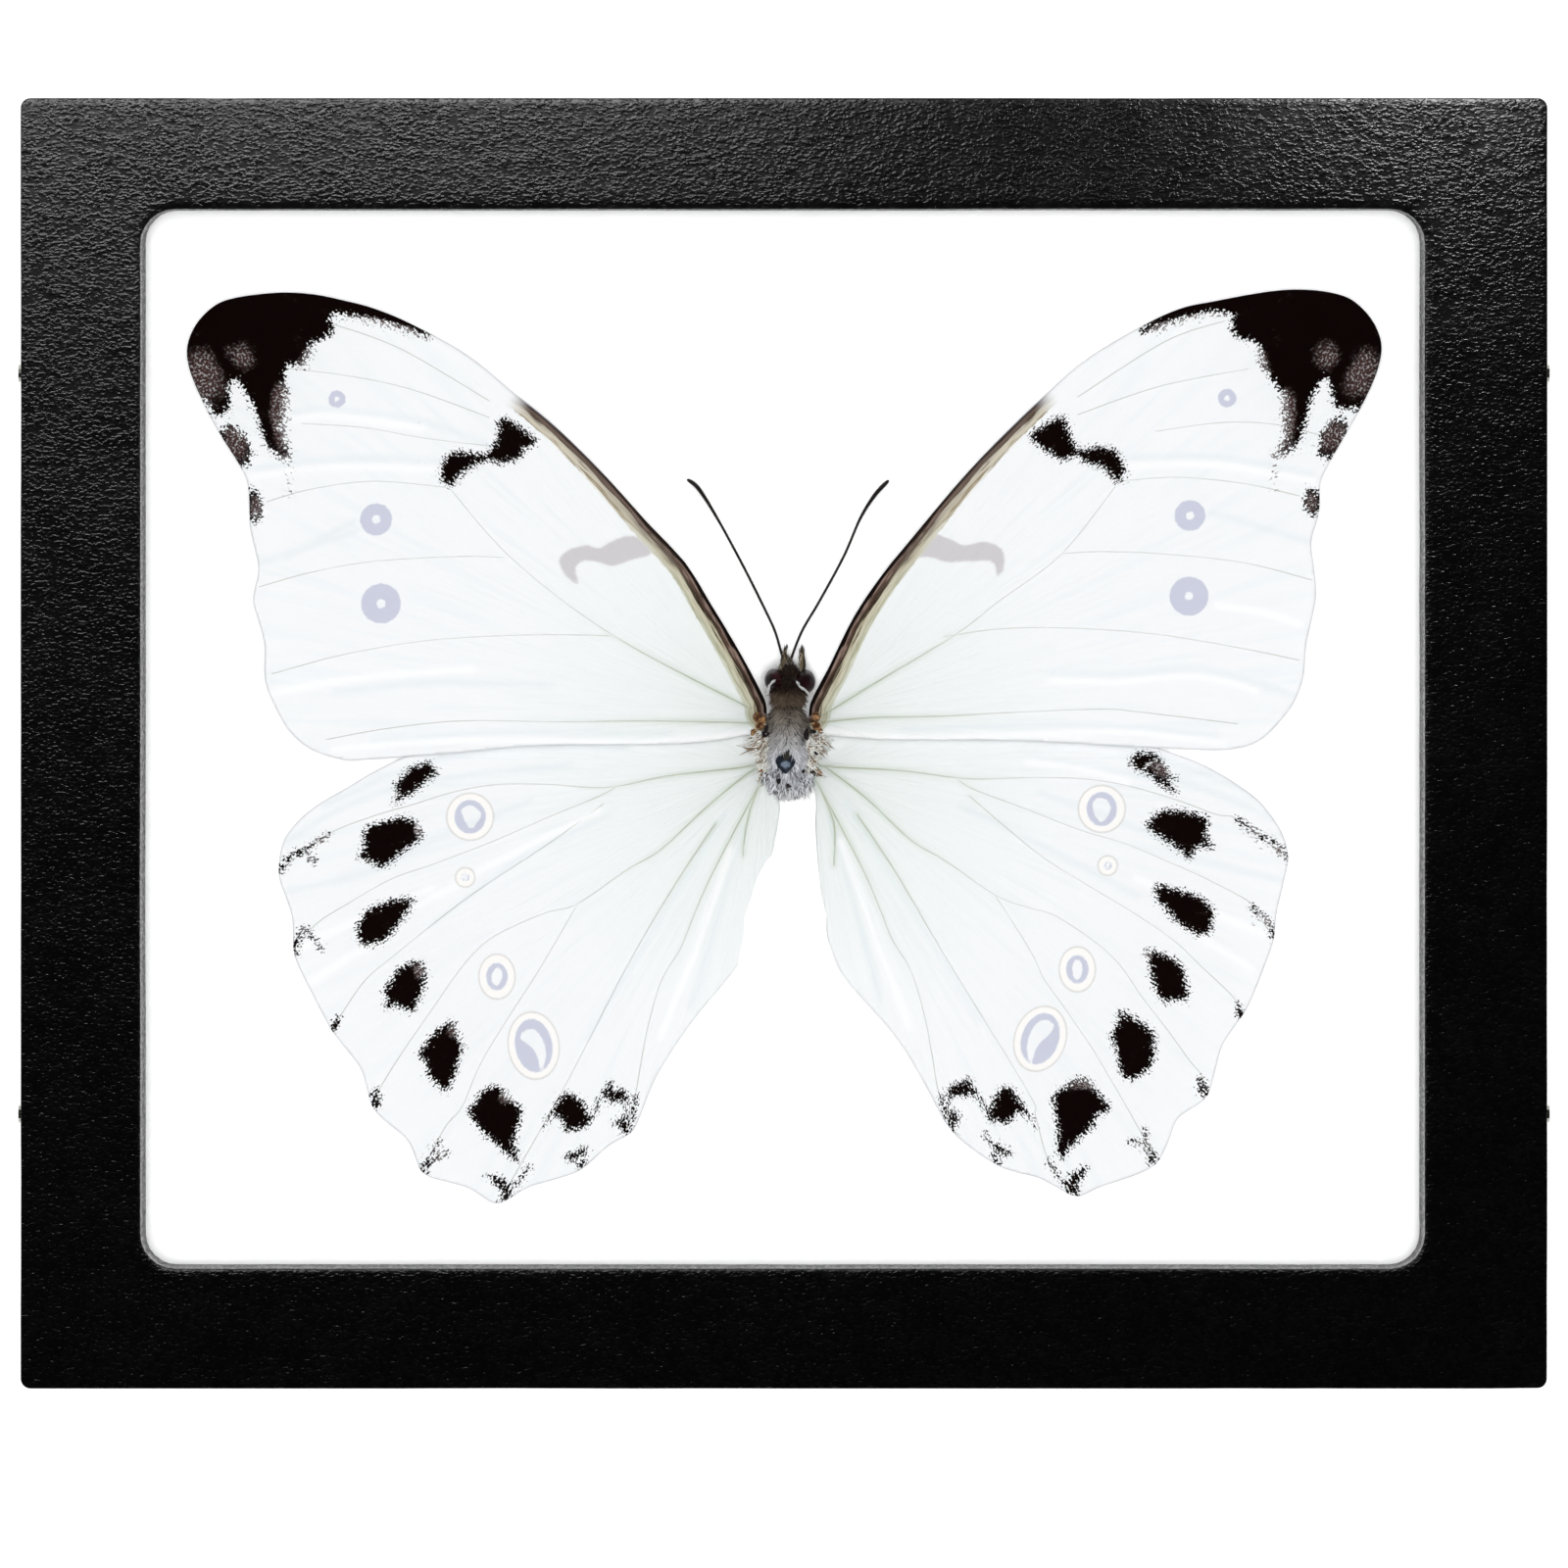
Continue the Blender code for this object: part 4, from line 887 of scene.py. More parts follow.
            [(29.5, -46.1), (27.1, -42.8), (25.7, -38.0), (25.0, -35.7), (16.5, -21.8),
             (11.5, -13.3), (7.5, -7.3)],
            [(3.4, -4.0), (4.9, -7.4), (5.2, -9.4), (5.1, -12.5)],
        ],
        "folds": [[(50.0, -7.6), (45.2, -5.5), (40.5, -3.9), (35.0, -3.0), (25.0, -1.4)],
                  [(47.0, -4.6), (38.0, -1.4), (30.0, 0.4), (16.0, 0.6)],
                  [(50.8, -14.0), (42.0, -11.6), (36.0, -8.6), (26.0, -5.0)],
                  [(36.0, -15.6), (27.0, -10.8), (18.0, -6.4)],
                  [(9.9, -26.0), (7.3, -17.0), (4.6, -7.6)],
                  [(20.0, -28.4), (12.4, -16.0), (6.4, -6.2)]],
        "ridges": [[(35.0, -3.9), (30.4, -2.6), (25.0, -1.9)],
                   [(49.4, -19.6), (44.0, -17.4), (36.0, -13.8)],
                   [(47.6, -23.0), (41.0, -18.6)],
                   [(12.8, -29.0), (9.4, -20.0), (5.8, -10.0)]],
    },
}


# The fold and ridge strengths drive the painted shade in the folds and the painted highlight on the
# ridges.
CREASE_WIDTHS = {"fold": 0.34, "ridge": 0.4, "vein": 0.35}
DUST_SOFTNESS = 0.5
FAN_RADIUS = 35.0  # an angle round the root becomes a length here


def paint(mesh, marks, outline, root, raised):
    """Writes a wing's markings on its points, each as a depth or a strength, with the fold and
    ridge strengths that drive its painted shade and painted highlight.
    """
    spots = np.empty(len(mesh.vertices) * 3, np.float32)
    mesh.vertices.foreach_get("co", spots)
    spots = spots.reshape(-1, 3)[:, :2].astype(float)

    def strongest(found):
        return np.max([np.full(len(spots), -FAR), *found], axis=0)

    def crease(name):
        gaps = [to_line(spots, through(line, step=1.0))[1] for line in marks[name + "s"]]
        return np.exp(-(np.min(gaps, axis=0) / CREASE_WIDTHS[name]) ** 2)

    dark = strongest([patch(spots, through(blot, closed=True)) for blot in marks["blots"]]
                     + [oval(spots, *lobe) for lobe in marks["lobes"]]
                     + [stroke(spots, *line) for line in marks.get("lines", ())])
    for hole in marks.get("holes", ()):
        dark = np.minimum(dark, -oval(spots, *hole))
    thin = strongest([oval(spots, *lobe) / min(lobe[1:3]) for lobe in marks["thin_lobes"]])
    dust = strongest([stroke(spots, *line) for line in marks["dust"]])
    lilac = strongest([patch(spots, through(bar, closed=True)) for bar in marks.get("lilac", ())])
    cream, halo, ring = (np.full(len(spots), -FAR) for _ in range(3))
    for centre, *eye in marks["eyes"]:
        if len(eye) == 2:
            disc, pupil = (oval(spots, centre, radius, radius) for radius in eye)
        else:
            disc, pupil = oval(spots, centre, *eye[1]), patch(spots, through(eye[2], True, 0.1))
            outer = oval(spots, centre, *eye[0])
            halo = np.maximum(halo, outer)
            cream = np.maximum(cream, np.minimum(outer, -disc))
        ring = np.maximum(ring, np.minimum(disc, -pupil))
    costa = np.full(len(spots), FAR)
    run = np.zeros(len(spots))
    if "costa" in marks:
        first, last = (np.argmin(((outline - np.array(end)) ** 2).sum(1))
                       for end in marks["costa"])
        count = len(outline)
        forward = (last - first) % count
        step = 1 if forward < count / 2 else -1
        length = forward if step == 1 else count - forward
        edge = outline[(first + step * np.arange(length + 1)) % count]
        costa, run = to_line(spots, edge)[1:]
    away = spots - np.array(root)
    away[:, 0] = np.abs(away[:, 0])
    values = {
        "dark": dark, "thin": np.clip(thin, 0, 1), "dust": np.clip(dust / DUST_SOFTNESS, 0, 1),
        "lilac": lilac, "cream": cream, "halo": halo, "ring": ring,
        "costa": np.minimum(costa, FAR), "run": run, "margin": patch(spots, outline),
        "raised": np.full(len(spots), float(raised)), "along": np.hypot(*away.T),
        "across": np.arctan2(away[:, 1], away[:, 0]) * FAN_RADIUS,
    }
    values.update((name, crease(name)) for name in CREASE_WIDTHS)
    for name, value in values.items():
        mesh.attributes.new(name, "FLOAT", "POINT").data.foreach_set("value",
                                                                     value.astype(np.float32))


PLEATS = (("folds", -0.10, 0.5), ("ridges", 0.08, 0.45), ("veins", 0.05, 0.35))  # rise, width


def wing_relief(spots, marks):
    """Pleats between the veins, in millimetres."""
    height = np.zeros(len(spots))
    for name, rise, width in PLEATS:
        for line in marks[name]:
            gap = to_line(spots, through(line, step=1.0))[1]
            height += rise * np.exp(-(gap / width) ** 2)
    return height


RELIEF_ROOM = 0.1  # the skin lies this far under the CAD plate's top, to leave room for the veins
VEIN_R, VEIN_ROOT_R, VEIN_TAPER = 0.048, 0.035, 12.0  # thicker by the second near the root
VEIN_STEP = 0.6
VEIN_LIFT = 0.06


def make_wing(node, marks, root):
    """A wing's closed skin with its veins, as one piece that replaces the CAD plate."""
    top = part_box(node)[1].z / MM - RELIEF_ROOM
    outline = cad_outline(node)
    low, high = outline.min(0) - WING_CELL, outline.max(0) + WING_CELL
    cells = np.ceil((high - low) / WING_CELL).astype(int)
    bm = bmesh.new()
    bmesh.ops.create_grid(bm, x_segments=int(cells[0]), y_segments=int(cells[1]), size=0.5)
    bmesh.ops.scale(bm, vec=(*(high - low), 1.0), verts=bm.verts)
    bmesh.ops.translate(bm, vec=(*((high + low) / 2), 0.0), verts=bm.verts)
    depth = patch(np.array([v.co.xy for v in bm.verts]), outline)
    outside = [v for v, d in zip(bm.verts, depth) if d < -WING_CELL / 2]
    bmesh.ops.delete(bm, geom=outside, context="VERTS")
    rim = [v for v in bm.verts if v.is_boundary]
    for vertex, spot in zip(rim, to_line(np.array([v.co.xy for v in rim]), outline, True)[0]):
        vertex.co.xy = spot
    spots = np.array([v.co.xy for v in bm.verts])
    for vertex, z in zip(bm.verts, wing_level(spots, top) + wing_relief(spots, marks)):
        vertex.co.z = z
    skin = bpy.data.meshes.new(node + "_skin")
    bm.to_mesh(skin)
    bm.free()
    paint(skin, marks, outline, root, 0)

    lines = bpy.data.curves.new(node + "_veins", "CURVE")
    lines.dimensions = "3D"
    lines.bevel_depth = 1.0
    lines.bevel_resolution = 1
    lines.use_fill_caps = True
    for vein in marks["veins"]:
        line = through(vein, step=VEIN_STEP)
        line = line[patch(line, outline) > 0.1]  # a vein ends just inside the margin
        levels = wing_level(line, top) + VEIN_LIFT
        reach = np.linalg.norm(line - np.array(root), axis=1)
        spline = lines.splines.new("POLY")
        spline.points.add(len(line) - 1)
        for point, spot, z, far in zip(spline.points, line, levels, reach):
            point.co = (*spot, z, 1.0)
            point.radius = VEIN_R + VEIN_ROOT_R * math.exp(-far / VEIN_TAPER)
    holder = bpy.data.objects.new(node + "_veins", lines)
    veins = bpy.data.meshes.new_from_object(holder)
    bpy.data.objects.remove(holder)
    paint(veins, marks, outline, root, 1)

    bm = bmesh.new()
    bm.from_mesh(skin)
    under = bmesh.ops.extrude_face_region(bm, geom=bm.faces[:])["geom"]
    bmesh.ops.translate(bm, vec=(0, 0, -WING_THICK),
                        verts=[v for v in under if isinstance(v, bmesh.types.BMVert)])
    bmesh.ops.recalc_face_normals(bm, faces=bm.faces)
    bm.from_mesh(veins)
    wing = to_object(bm, node + "_scaled", [scales])
    wing.data.shade_smooth()
    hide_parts(node)


scales = Finish("wing scales", Roughness=0.75, Specular_IOR_Level=0.03)
dark, thin, dust, lilac, cream, halo, ring, costa, run, margin = (
    scales.attribute(name) for name in ("dark", "thin", "dust", "lilac", "cream", "halo",
                                        "ring", "costa", "run", "margin"))
fold, ridge, vein, raised, along, across = (
    scales.attribute(name) for name in ("fold", "ridge", "vein", "raised", "along", "across"))


def scale_rows(long, short, detail=2.0):
    """Noise whose lumps lie along the rows of scales, which run from root to margin."""
    rows = scales.node("ShaderNodeCombineXYZ", {}, {"X": along * (1 / long),
                                                    "Y": across * (1 / short)})
    return scales.node("ShaderNodeTexNoise", {}, {"Vector": rows, "Scale": 1.0,
                                                  "Detail": detail})


WHITE = (0.832, 0.843, 0.858)
# The blue-grey tints random streaks and specks of scales, and also paints the shade in the folds.
STREAK_AND_FOLD_SHADE_BLUE = (0.69, 0.75, 0.775)
RIDGE_HIGHLIGHT_WHITE = (0.90, 0.905, 0.91)
ROOT_GREEN = (0.70, 0.76, 0.725)
VEIN_GREY = (0.58, 0.60, 0.565)
VEIN_OLIVE = (0.42, 0.43, 0.30)
VEIN_GREEN = (0.52, 0.60, 0.50)
LILAC = (0.575, 0.555, 0.575)
LAVENDER = (0.525, 0.54, 0.65)
CREAM = (0.885, 0.868, 0.850)
HALO_GREY = (0.52, 0.50, 0.47)
RIM_GREY = (0.45, 0.43, 0.50)
BLACK_BROWN = (0.0035, 0.0014, 0.0012)
THIN_BROWN = (0.060, 0.031, 0.028)

BAND_WIDE = 2.4  # the brown edge in front, in millimetres

streak = scale_rows(14.0, 0.8, 3.0)
hair = scale_rows(0.6, 0.17)
speck = scale_rows(0.24, 0.14, 1.0)
clump = scale_rows(2.4, 1.3)
near_root = scales.step(along, 30.0, 2.0)
white = scales.mix(scales.step(streak, 0.45, 0.85) * 0.35, WHITE, STREAK_AND_FOLD_SHADE_BLUE)
white = scales.mix(scales.step(speck, 0.66, 0.80) * 0.25, white, STREAK_AND_FOLD_SHADE_BLUE)
white = scales.mix(near_root * (0.20 + streak * 0.4), white, ROOT_GREEN)
# Painted shade: the troughs of the folds are tinted blue-grey for the shade that falls in them.
white = scales.mix(fold * 0.45, white, STREAK_AND_FOLD_SHADE_BLUE)
white = scales.mix(vein * scales.step(along, 24.0, 2.0) * (0.2 + streak * 0.8), white,
                   VEIN_GREEN)
# Painted highlight: the crests of the pleats are lightened for the light they catch.
white = scales.mix(ridge * 0.8, white, RIDGE_HIGHLIGHT_WHITE)
vein_tint = scales.mix(scales.step(along, 26.0, 3.0), VEIN_GREY, VEIN_OLIVE)
near_rim = scales.step(margin, 8.5, 3.5) * scales.step(along, 22.0, 40.0)
colour = scales.mix(raised * (0.10 + clump * 0.90 + near_rim * 0.45), white, vein_tint)
colour = scales.mix(scales.step(lilac + (hair - 0.5) * 0.6, -0.15, 0.2), colour, LILAC)
colour = scales.mix(scales.step(cream + (speck - 0.5) * 0.3, -0.05, 0.1), colour, CREAM)
outline_gap = halo.math("ABSOLUTE", halo, 0.0)
colour = scales.mix(scales.step(outline_gap, 0.16, 0.04) * (speck * 0.9), colour, HALO_GREY)
colour = scales.mix(scales.step(ring + (speck - 0.5) * 0.35, -0.06, 0.08) * 0.92, colour,
                    LAVENDER)
quill_place = scales.node("ShaderNodeCombineXYZ", {}, {"X": run * 14.0, "Y": costa * 4.5})
quill = scales.node("ShaderNodeTexNoise", {}, {"Vector": quill_place, "Scale": 1.0, "Detail": 3.0})
across_band = (costa + (quill - 0.5) * 1.3 * scales.step(costa, 0.15, 0.5)) * (1 / BAND_WIDE)
outer_band = scales.node("ShaderNodeValToRGB", {"stops": [
    (0.00, (0.010, 0.006, 0.005, 1)), (0.09, (0.030, 0.018, 0.012, 1)),
    (0.16, (0.16, 0.12, 0.10, 1)), (0.25, (0.055, 0.032, 0.020, 1)),
    (0.35, (0.50, 0.46, 0.38, 1)), (0.48, (0.58, 0.54, 0.44, 1)),
    (0.56, (0.22, 0.17, 0.10, 1)), (0.66, (0.75, 0.74, 0.68, 1))]},
    {"Fac": across_band}, "Color")
inner_band = scales.node("ShaderNodeValToRGB", {"stops": [
    (0.00, (0.003, 0.002, 0.002, 1)), (0.13, (0.008, 0.005, 0.004, 1)),
    (0.19, (0.28, 0.20, 0.17, 1)), (0.25, (0.09, 0.055, 0.040, 1)),
    (0.41, (0.020, 0.012, 0.007, 1)), (0.49, (0.42, 0.38, 0.27, 1)),
    (0.60, (0.58, 0.56, 0.44, 1)), (0.70, (0.36, 0.35, 0.24, 1)),
    (0.82, (0.60, 0.61, 0.50, 1)), (0.93, (0.46, 0.49, 0.38, 1)),
    (1.00, (0.74, 0.78, 0.72, 1))]},
    {"Fac": across_band}, "Color")
band = scales.mix(scales.step(run, 0.30, 0.75), inner_band, outer_band)
band_width = 2.25 - run * 0.85 + (hair - 0.5) * 0.6
band_ends = scales.step(run, 0.999, 0.93)
colour = scales.mix(scales.step(band_width - costa, -0.05, 0.12) * band_ends, colour, band)
thinned = scales.step(thin + (clump - 0.5) * 1.1 + (hair - 0.5) * 0.5, 0.15, 0.9)
edge = dark + (hair - 0.5) * (1.7 + thinned) + (speck - 0.5) * (2.2 + thinned)
cover = scales.step(edge, -0.12, 0.16) * (1 - thinned * scales.step(speck, 0.50, 0.66) * 0.35)
cover = cover.most(dust * scales.step(hair + (speck - 0.5) * 0.6, 0.60, 0.70) * 0.85)
black = scales.mix(thinned * (0.3 + hair * 0.9), BLACK_BROWN, THIN_BROWN)
colour = scales.mix(cover, colour, black)
outer_rim = scales.step(margin, 0.22, 0.02) * scales.step(along, 22.0, 42.0)
colour = scales.mix(outer_rim * 0.32 * (1 - cover), colour, RIM_GREY)
scales.set(Base_Color=colour, Normal=scales.bump(streak + hair * 0.15, 0.12))

WING_ROOTS = {"forewing_left": (-2.0, 2.6), "forewing_right": (2.7, 2.6),
              "hindwing_left": (-2.0, -2.5), "hindwing_right": (3.0, -2.5)}
for node, root in WING_ROOTS.items():
    make_wing(node, {**FOREWING_MARKS, **HINDWING_MARKS}[node], root)


# Thorax. The insect's chest, glued into the hollow of the batting: a hard dark shell under a
# pelt of hair that lies back, brown over the shoulders and blue-grey to white behind.
THORAX_LOW, THORAX_HIGH = (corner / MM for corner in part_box("thorax"))
PANE_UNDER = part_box("glass")[0].z / MM - 0.04  # no hair reaches higher
SHELL_SHARE = 0.93  # the shell leaves room for the hair
PELT_SHARE = 0.94
HAIRS = 7000
HAIR_LONG = (0.6, 1.3)
HAIR_WIDE = (0.045, 0.085)
BEHIND_LONGER = 1.15
HAIR_FLATNESS = 0.6
chance = np.random.default_rng(11)


def ball(bm, radii, centre, around=24, rings=16):
    """Adds an ellipsoid."""
    made = bmesh.ops.create_uvsphere(bm, u_segments=around, v_segments=rings, radius=1.0)
    bmesh.ops.scale(bm, vec=radii, verts=made["verts"])
    bmesh.ops.translate(bm, vec=centre, verts=made["verts"])
    return made["verts"]


def hair_shape():
    """One hair a unit long and two wide: a three-sided spike along Z, in two lengths."""
    bm = bmesh.new()
    bmesh.ops.create_circle(bm, cap_ends=True, segments=3, radius=1.0)
    for rise, taper in ((0.6, 0.75), (0.4, 0.0)):
        height = max(v.co.z for v in bm.verts)
        rim = [e for e in bm.edges if min(v.co.z for v in e.verts) > height - 0.01]
        drawn = bmesh.ops.extrude_edge_only(bm, edges=rim)["geom"]
        tips = [v for v in drawn if isinstance(v, bmesh.types.BMVert)]
        bmesh.ops.translate(bm, vec=(0, 0, rise), verts=tips)
        bmesh.ops.scale(bm, vec=(taper, taper, 1.0), verts=tips)
    bmesh.ops.remove_doubles(bm, verts=bm.verts, dist=1e-4)
    bmesh.ops.recalc_face_normals(bm, faces=bm.faces)
    bm.verts.index_update()
    shape = np.array([v.co for v in bm.verts]), [[v.index for v in f.verts] for f in bm.faces]
    bm.free()
    return shape


HAIR_POINTS, HAIR_FACES = hair_shape()


def pelt(name, roots, aims, length, width, tone, droop, finish):
    """A piece made of hairs, each a copy of one spike, with its tone written on its points."""
    count = len(roots)
    aims = aims / np.linalg.norm(aims, axis=1, keepdims=True)
    side = np.cross((0.0, 0.0, 1.0), aims) + 1e-6
    side /= np.linalg.norm(side, axis=1, keepdims=True)
    rise = np.cross(aims, side)
    across, up, share = HAIR_POINTS.T
    points = (roots[:, None] + aims[:, None] * (share * length[:, None])[..., None]
              + side[:, None] * (across * width[:, None])[..., None]
              + rise[:, None] * (up * width[:, None] * HAIR_FLATNESS)[..., None])
    points += droop[:, None] * (share ** 2 * length[:, None])[..., None]
    points[..., 2] = np.minimum(points[..., 2], PANE_UNDER)
    faces = [[corner + k * len(share) for corner in face]
             for k in range(count) for face in HAIR_FACES]
    mesh = bpy.data.meshes.new(name)
    mesh.from_pydata(points.reshape(-1, 3).tolist(), [], faces)
    shade = mesh.attributes.new("tone", "FLOAT", "POINT")
    shade.data.foreach_set("value", np.repeat(tone, len(share)).astype(np.float32))
    bm = bmesh.new()
    bm.from_mesh(mesh)
    piece = to_object(bm, name, [finish])
    piece.data.shade_smooth()
    return piece


def coat(count, centre, radii, y_range, spread=100.0):
    """Random roots on the upper side of an ellipsoid, with the outward direction at each."""
    y = chance.uniform(*y_range, count)
    angle = np.radians(chance.uniform(-spread, spread, count))
    girth = np.sqrt(np.maximum(1 - ((y - centre[1]) / radii[1]) ** 2, 0.03))
    outward = np.stack((np.sin(angle) * girth, (y - centre[1]) / radii[1],
                        np.cos(angle) * girth), 1)
    roots = np.array(centre) + outward * np.array(radii)
    return roots, outward


centre = (THORAX_LOW + THORAX_HIGH) / 2
radii = (THORAX_HIGH - THORAX_LOW) / 2
bm = bmesh.new()
ball(bm, radii * SHELL_SHARE, centre, 40, 28)
for vertex in bm.verts:
    away = vertex.co - centre
    vertex.co += away.normalized() * 0.10 * noise.noise(vertex.co / 0.9)
chitin = Finish("thorax shell", Specular_IOR_Level=0.5)
pits = chitin.grain(0.30, 3.0)
chitin.set(Base_Color=chitin.mix(pits, (0.010, 0.008, 0.007), (0.05, 0.045, 0.042)),
           Roughness=0.35 + pits * 0.2, Normal=chitin.bump(pits, 0.05))
shell = to_object(bm, "thorax_shell", [chitin])
shell.data.shade_smooth()
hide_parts("thorax")

down = Finish("body hair", Roughness=0.75, Specular_IOR_Level=0.2)
TINT_FROM, TINT_TO = -6.0, 6.0  # the tint runs over this stretch of Y, from the rear end forwards
down_y = down.node("ShaderNodeSeparateXYZ", {}, {"Vector": down.place}, "Y")
span = (down_y * (1 / MM) - TINT_FROM) * (1 / (TINT_TO - TINT_FROM))
body_tint = down.node("ShaderNodeValToRGB", {"stops": [
    (0.00, (0.95, 0.95, 0.97, 1)), (0.20, (0.86, 0.87, 0.93, 1)),
    (0.38, (0.82, 0.825, 0.87, 1)), (0.52, (0.50, 0.49, 0.49, 1)),
    (0.66, (0.28, 0.250, 0.210, 1)), (0.80, (0.20, 0.160, 0.125, 1)),
    (0.88, (0.145, 0.110, 0.080, 1)), (0.94, (0.050, 0.032, 0.023, 1))]},
    {"Fac": span}, "Color")
tone = down.attribute("tone")
body_tint = down.mix(down.step(tone, 0.42, 0.05) * 0.88, body_tint, (0.018, 0.015, 0.020))
body_tint = down.mix(down.step(tone, 0.7, 1.0) * down.step(span, 0.85, 0.5) * 0.35, body_tint,
                     (0.95, 0.95, 0.97))
down.set(Base_Color=body_tint)

# The hair lies back. It is dark along the middle of the back, at the flanks and in blotches
# behind, and missing over the bare plate.
roots, outward = coat(HAIRS, centre, radii * PELT_SHARE, (-5.1, 5.0))
x, y = roots[:, 0] - BODY_X, roots[:, 1]
aims = outward * 0.28 + np.array((0.0, -1.0, 0.0))
aims[:, 0] += 0.18 * x + chance.normal(0, 0.42, HAIRS)
aims[:, 2] += chance.normal(0, 0.10, HAIRS)
length = chance.uniform(*HAIR_LONG, HAIRS) * np.where(y < -2.0, BEHIND_LONGER, 1.0)
tone = chance.uniform(0.1, 1.0, HAIRS)
tone = np.where(y < 0.5, np.maximum(tone, 0.3), tone)
middle = np.exp(-(x / 0.28) ** 2) * ((y > -1.2) & (y < 3.6))
flanks = np.exp(-((np.abs(x + 0.05) - 1.95) / 0.5) ** 2) * np.exp(-((y - 0.9) / 0.9) ** 2)
tone *= 1 - 0.65 * middle * chance.uniform(0, 1, HAIRS) - 0.95 * flanks.clip(0, 1)
blotch = np.array([noise.noise(Vector(root) / 0.5) for root in roots])
tone *= np.where((y < -2.4) & (blotch < -0.12), 0.3, 1.0)
keep = ((x + 0.2) / 0.95) ** 2 + ((y + 1.55) / 1.25) ** 2 > 1.0
behind = y < -2.6
aims[behind, 2] += 0.12
droop = np.stack((0.05 * x, np.zeros(HAIRS), np.where(behind, -0.02, -0.25)), 1)
thorax_pelt = pelt("thorax_pelt", roots[keep], aims[keep], length[keep],
                   chance.uniform(*HAIR_WIDE, HAIRS)[keep], tone[keep], droop[keep], down)

# Bare plate. A dark heart-shaped plate with a bluish middle shows through the hair behind.
PLATE = (0.15, -2.15)
PLATE_TOP = 15.12
PLATE_THICK = 0.5
PLATE_MIDDLE = (0.75, 0.62)  # half the size of the bluish middle
heart = [(0.0, 0.72), (0.32, 0.90), (0.72, 0.85), (1.0, 0.45), (0.92, 0.0), (0.55, -0.50),
         (0.0, -0.95), (-0.55, -0.50), (-0.92, 0.0), (-1.0, 0.45), (-0.72, 0.85), (-0.32, 0.90)]
bm = bmesh.new()
line = through(heart, closed=True, step=0.12)
disc = bm.faces.new([bm.verts.new((PLATE[0] + x, PLATE[1] + y, PLATE_TOP)) for x, y in line])
bmesh.ops.inset_region(bm, faces=[disc], thickness=0.22, depth=0.12)
bmesh.ops.inset_region(bm, faces=[disc], thickness=0.2, depth=0.05)
bmesh.ops.translate(bm, vec=(0, 0, -0.1), verts=disc.verts)
rim = [e for e in bm.edges if e.is_boundary]
base = bmesh.ops.extrude_edge_only(bm, edges=rim)["geom"]
bmesh.ops.translate(bm, vec=(0, 0, -PLATE_THICK),
                    verts=[v for v in base if isinstance(v, bmesh.types.BMVert)])
bmesh.ops.contextual_create(bm, geom=[e for e in bm.edges if e.is_boundary])
bmesh.ops.triangulate(bm, faces=bm.faces)
bmesh.ops.recalc_face_normals(bm, faces=bm.faces)
plate_skin = Finish("bare plate", Specular_IOR_Level=0.5, Roughness=0.4)
centred = plate_skin.node("ShaderNodeMapping", {}, {
    "Vector": plate_skin.place,
    "Scale": (1 / (PLATE_MIDDLE[0] * MM), 1 / (PLATE_MIDDLE[1] * MM), 0.0),
    "Location": (-PLATE[0] / PLATE_MIDDLE[0], -PLATE[1] / PLATE_MIDDLE[1], 0.0)})
reach = plate_skin.node("ShaderNodeVectorMath", {"operation": "LENGTH"}, {0: centred}, "Value")
mottle = plate_skin.grain(0.25, 3.0)
plate_skin.set(Base_Color=plate_skin.mix(
    plate_skin.step(reach + mottle * 0.7, 1.15, 0.75), (0.010, 0.014, 0.024),
    (0.16, 0.20, 0.26)), Normal=plate_skin.bump(mottle, 0.05))
plate = to_object(bm, "bare_plate", [plate_skin])
plate.data.shade_smooth()


# Wing roots. Orange-brown hinge plates hold each wing to the chest, with dark gaps between them.
# Tufts of cream hair grow over the joints, and tufts of the body's own hair end the chest.
LUMP_ROUGHNESS, LUMP_GRAIN = 0.14, 0.24
hinge = Finish("hinge plates", Specular_IOR_Level=0.5, Roughness=0.38)
stain = hinge.grain(0.35, 3.0)
hinge.set(Base_Color=hinge.mix(hinge.step(stain, 0.38, 0.66), (0.055, 0.022, 0.010),
                               (0.36, 0.20, 0.09)), Normal=hinge.bump(stain, 0.08))
gap_dark = Finish("joint gaps", Specular_IOR_Level=0.3, Roughness=0.6)
soot = gap_dark.grain(0.3, 3.0)
gap_dark.set(Base_Color=gap_dark.mix(soot, (0.004, 0.003, 0.004), (0.03, 0.022, 0.022)),
             Normal=gap_dark.bump(soot, 0.05))
KNOBS = [((0.50, 0.42, 0.30), (-2.45, 1.75, 14.62)), ((0.42, 0.55, 0.26), (-2.75, 2.65, 14.66)),
         ((0.40, 0.34, 0.26), (-3.05, 1.15, 14.60)), ((0.30, 0.42, 0.25), (-2.15, 2.35, 14.72)),
         ((0.46, 0.44, 0.30), (3.30, 1.80, 14.62)), ((0.38, 0.52, 0.26), (3.25, 2.75, 14.66)),
         ((0.30, 0.34, 0.24), (3.75, 1.30, 14.58)), ((0.36, 0.30, 0.24), (3.70, -3.1, 13.95)),
         ((0.34, 0.34, 0.24), (-2.45, -2.6, 13.95))]
GAPS = [((0.42, 0.34, 0.30), (-1.95, 0.95, 14.45)), ((0.24, 0.30, 0.25), (-1.85, 1.55, 14.55)),
        ((0.26, 0.62, 0.30), (2.30, 0.95, 14.50)), ((0.28, 0.24, 0.24), (3.00, 1.25, 14.50)),
        ((0.24, 0.24, 0.20), (3.35, -1.00, 14.30)), ((0.26, 0.44, 0.22), (2.95, -3.00, 14.10)),
        ((0.26, 0.26, 0.20), (-1.85, -3.20, 14.10)), ((0.20, 0.26, 0.18), (-0.55, -3.85, 15.05)),
        ((0.26, 0.16, 0.15), (0.45, -4.35, 14.95)), ((0.18, 0.18, 0.2), (2.0, -2.9, 14.55))]
noise.seed_set(11)  # noise_vector starts from a random offset unless it is seeded
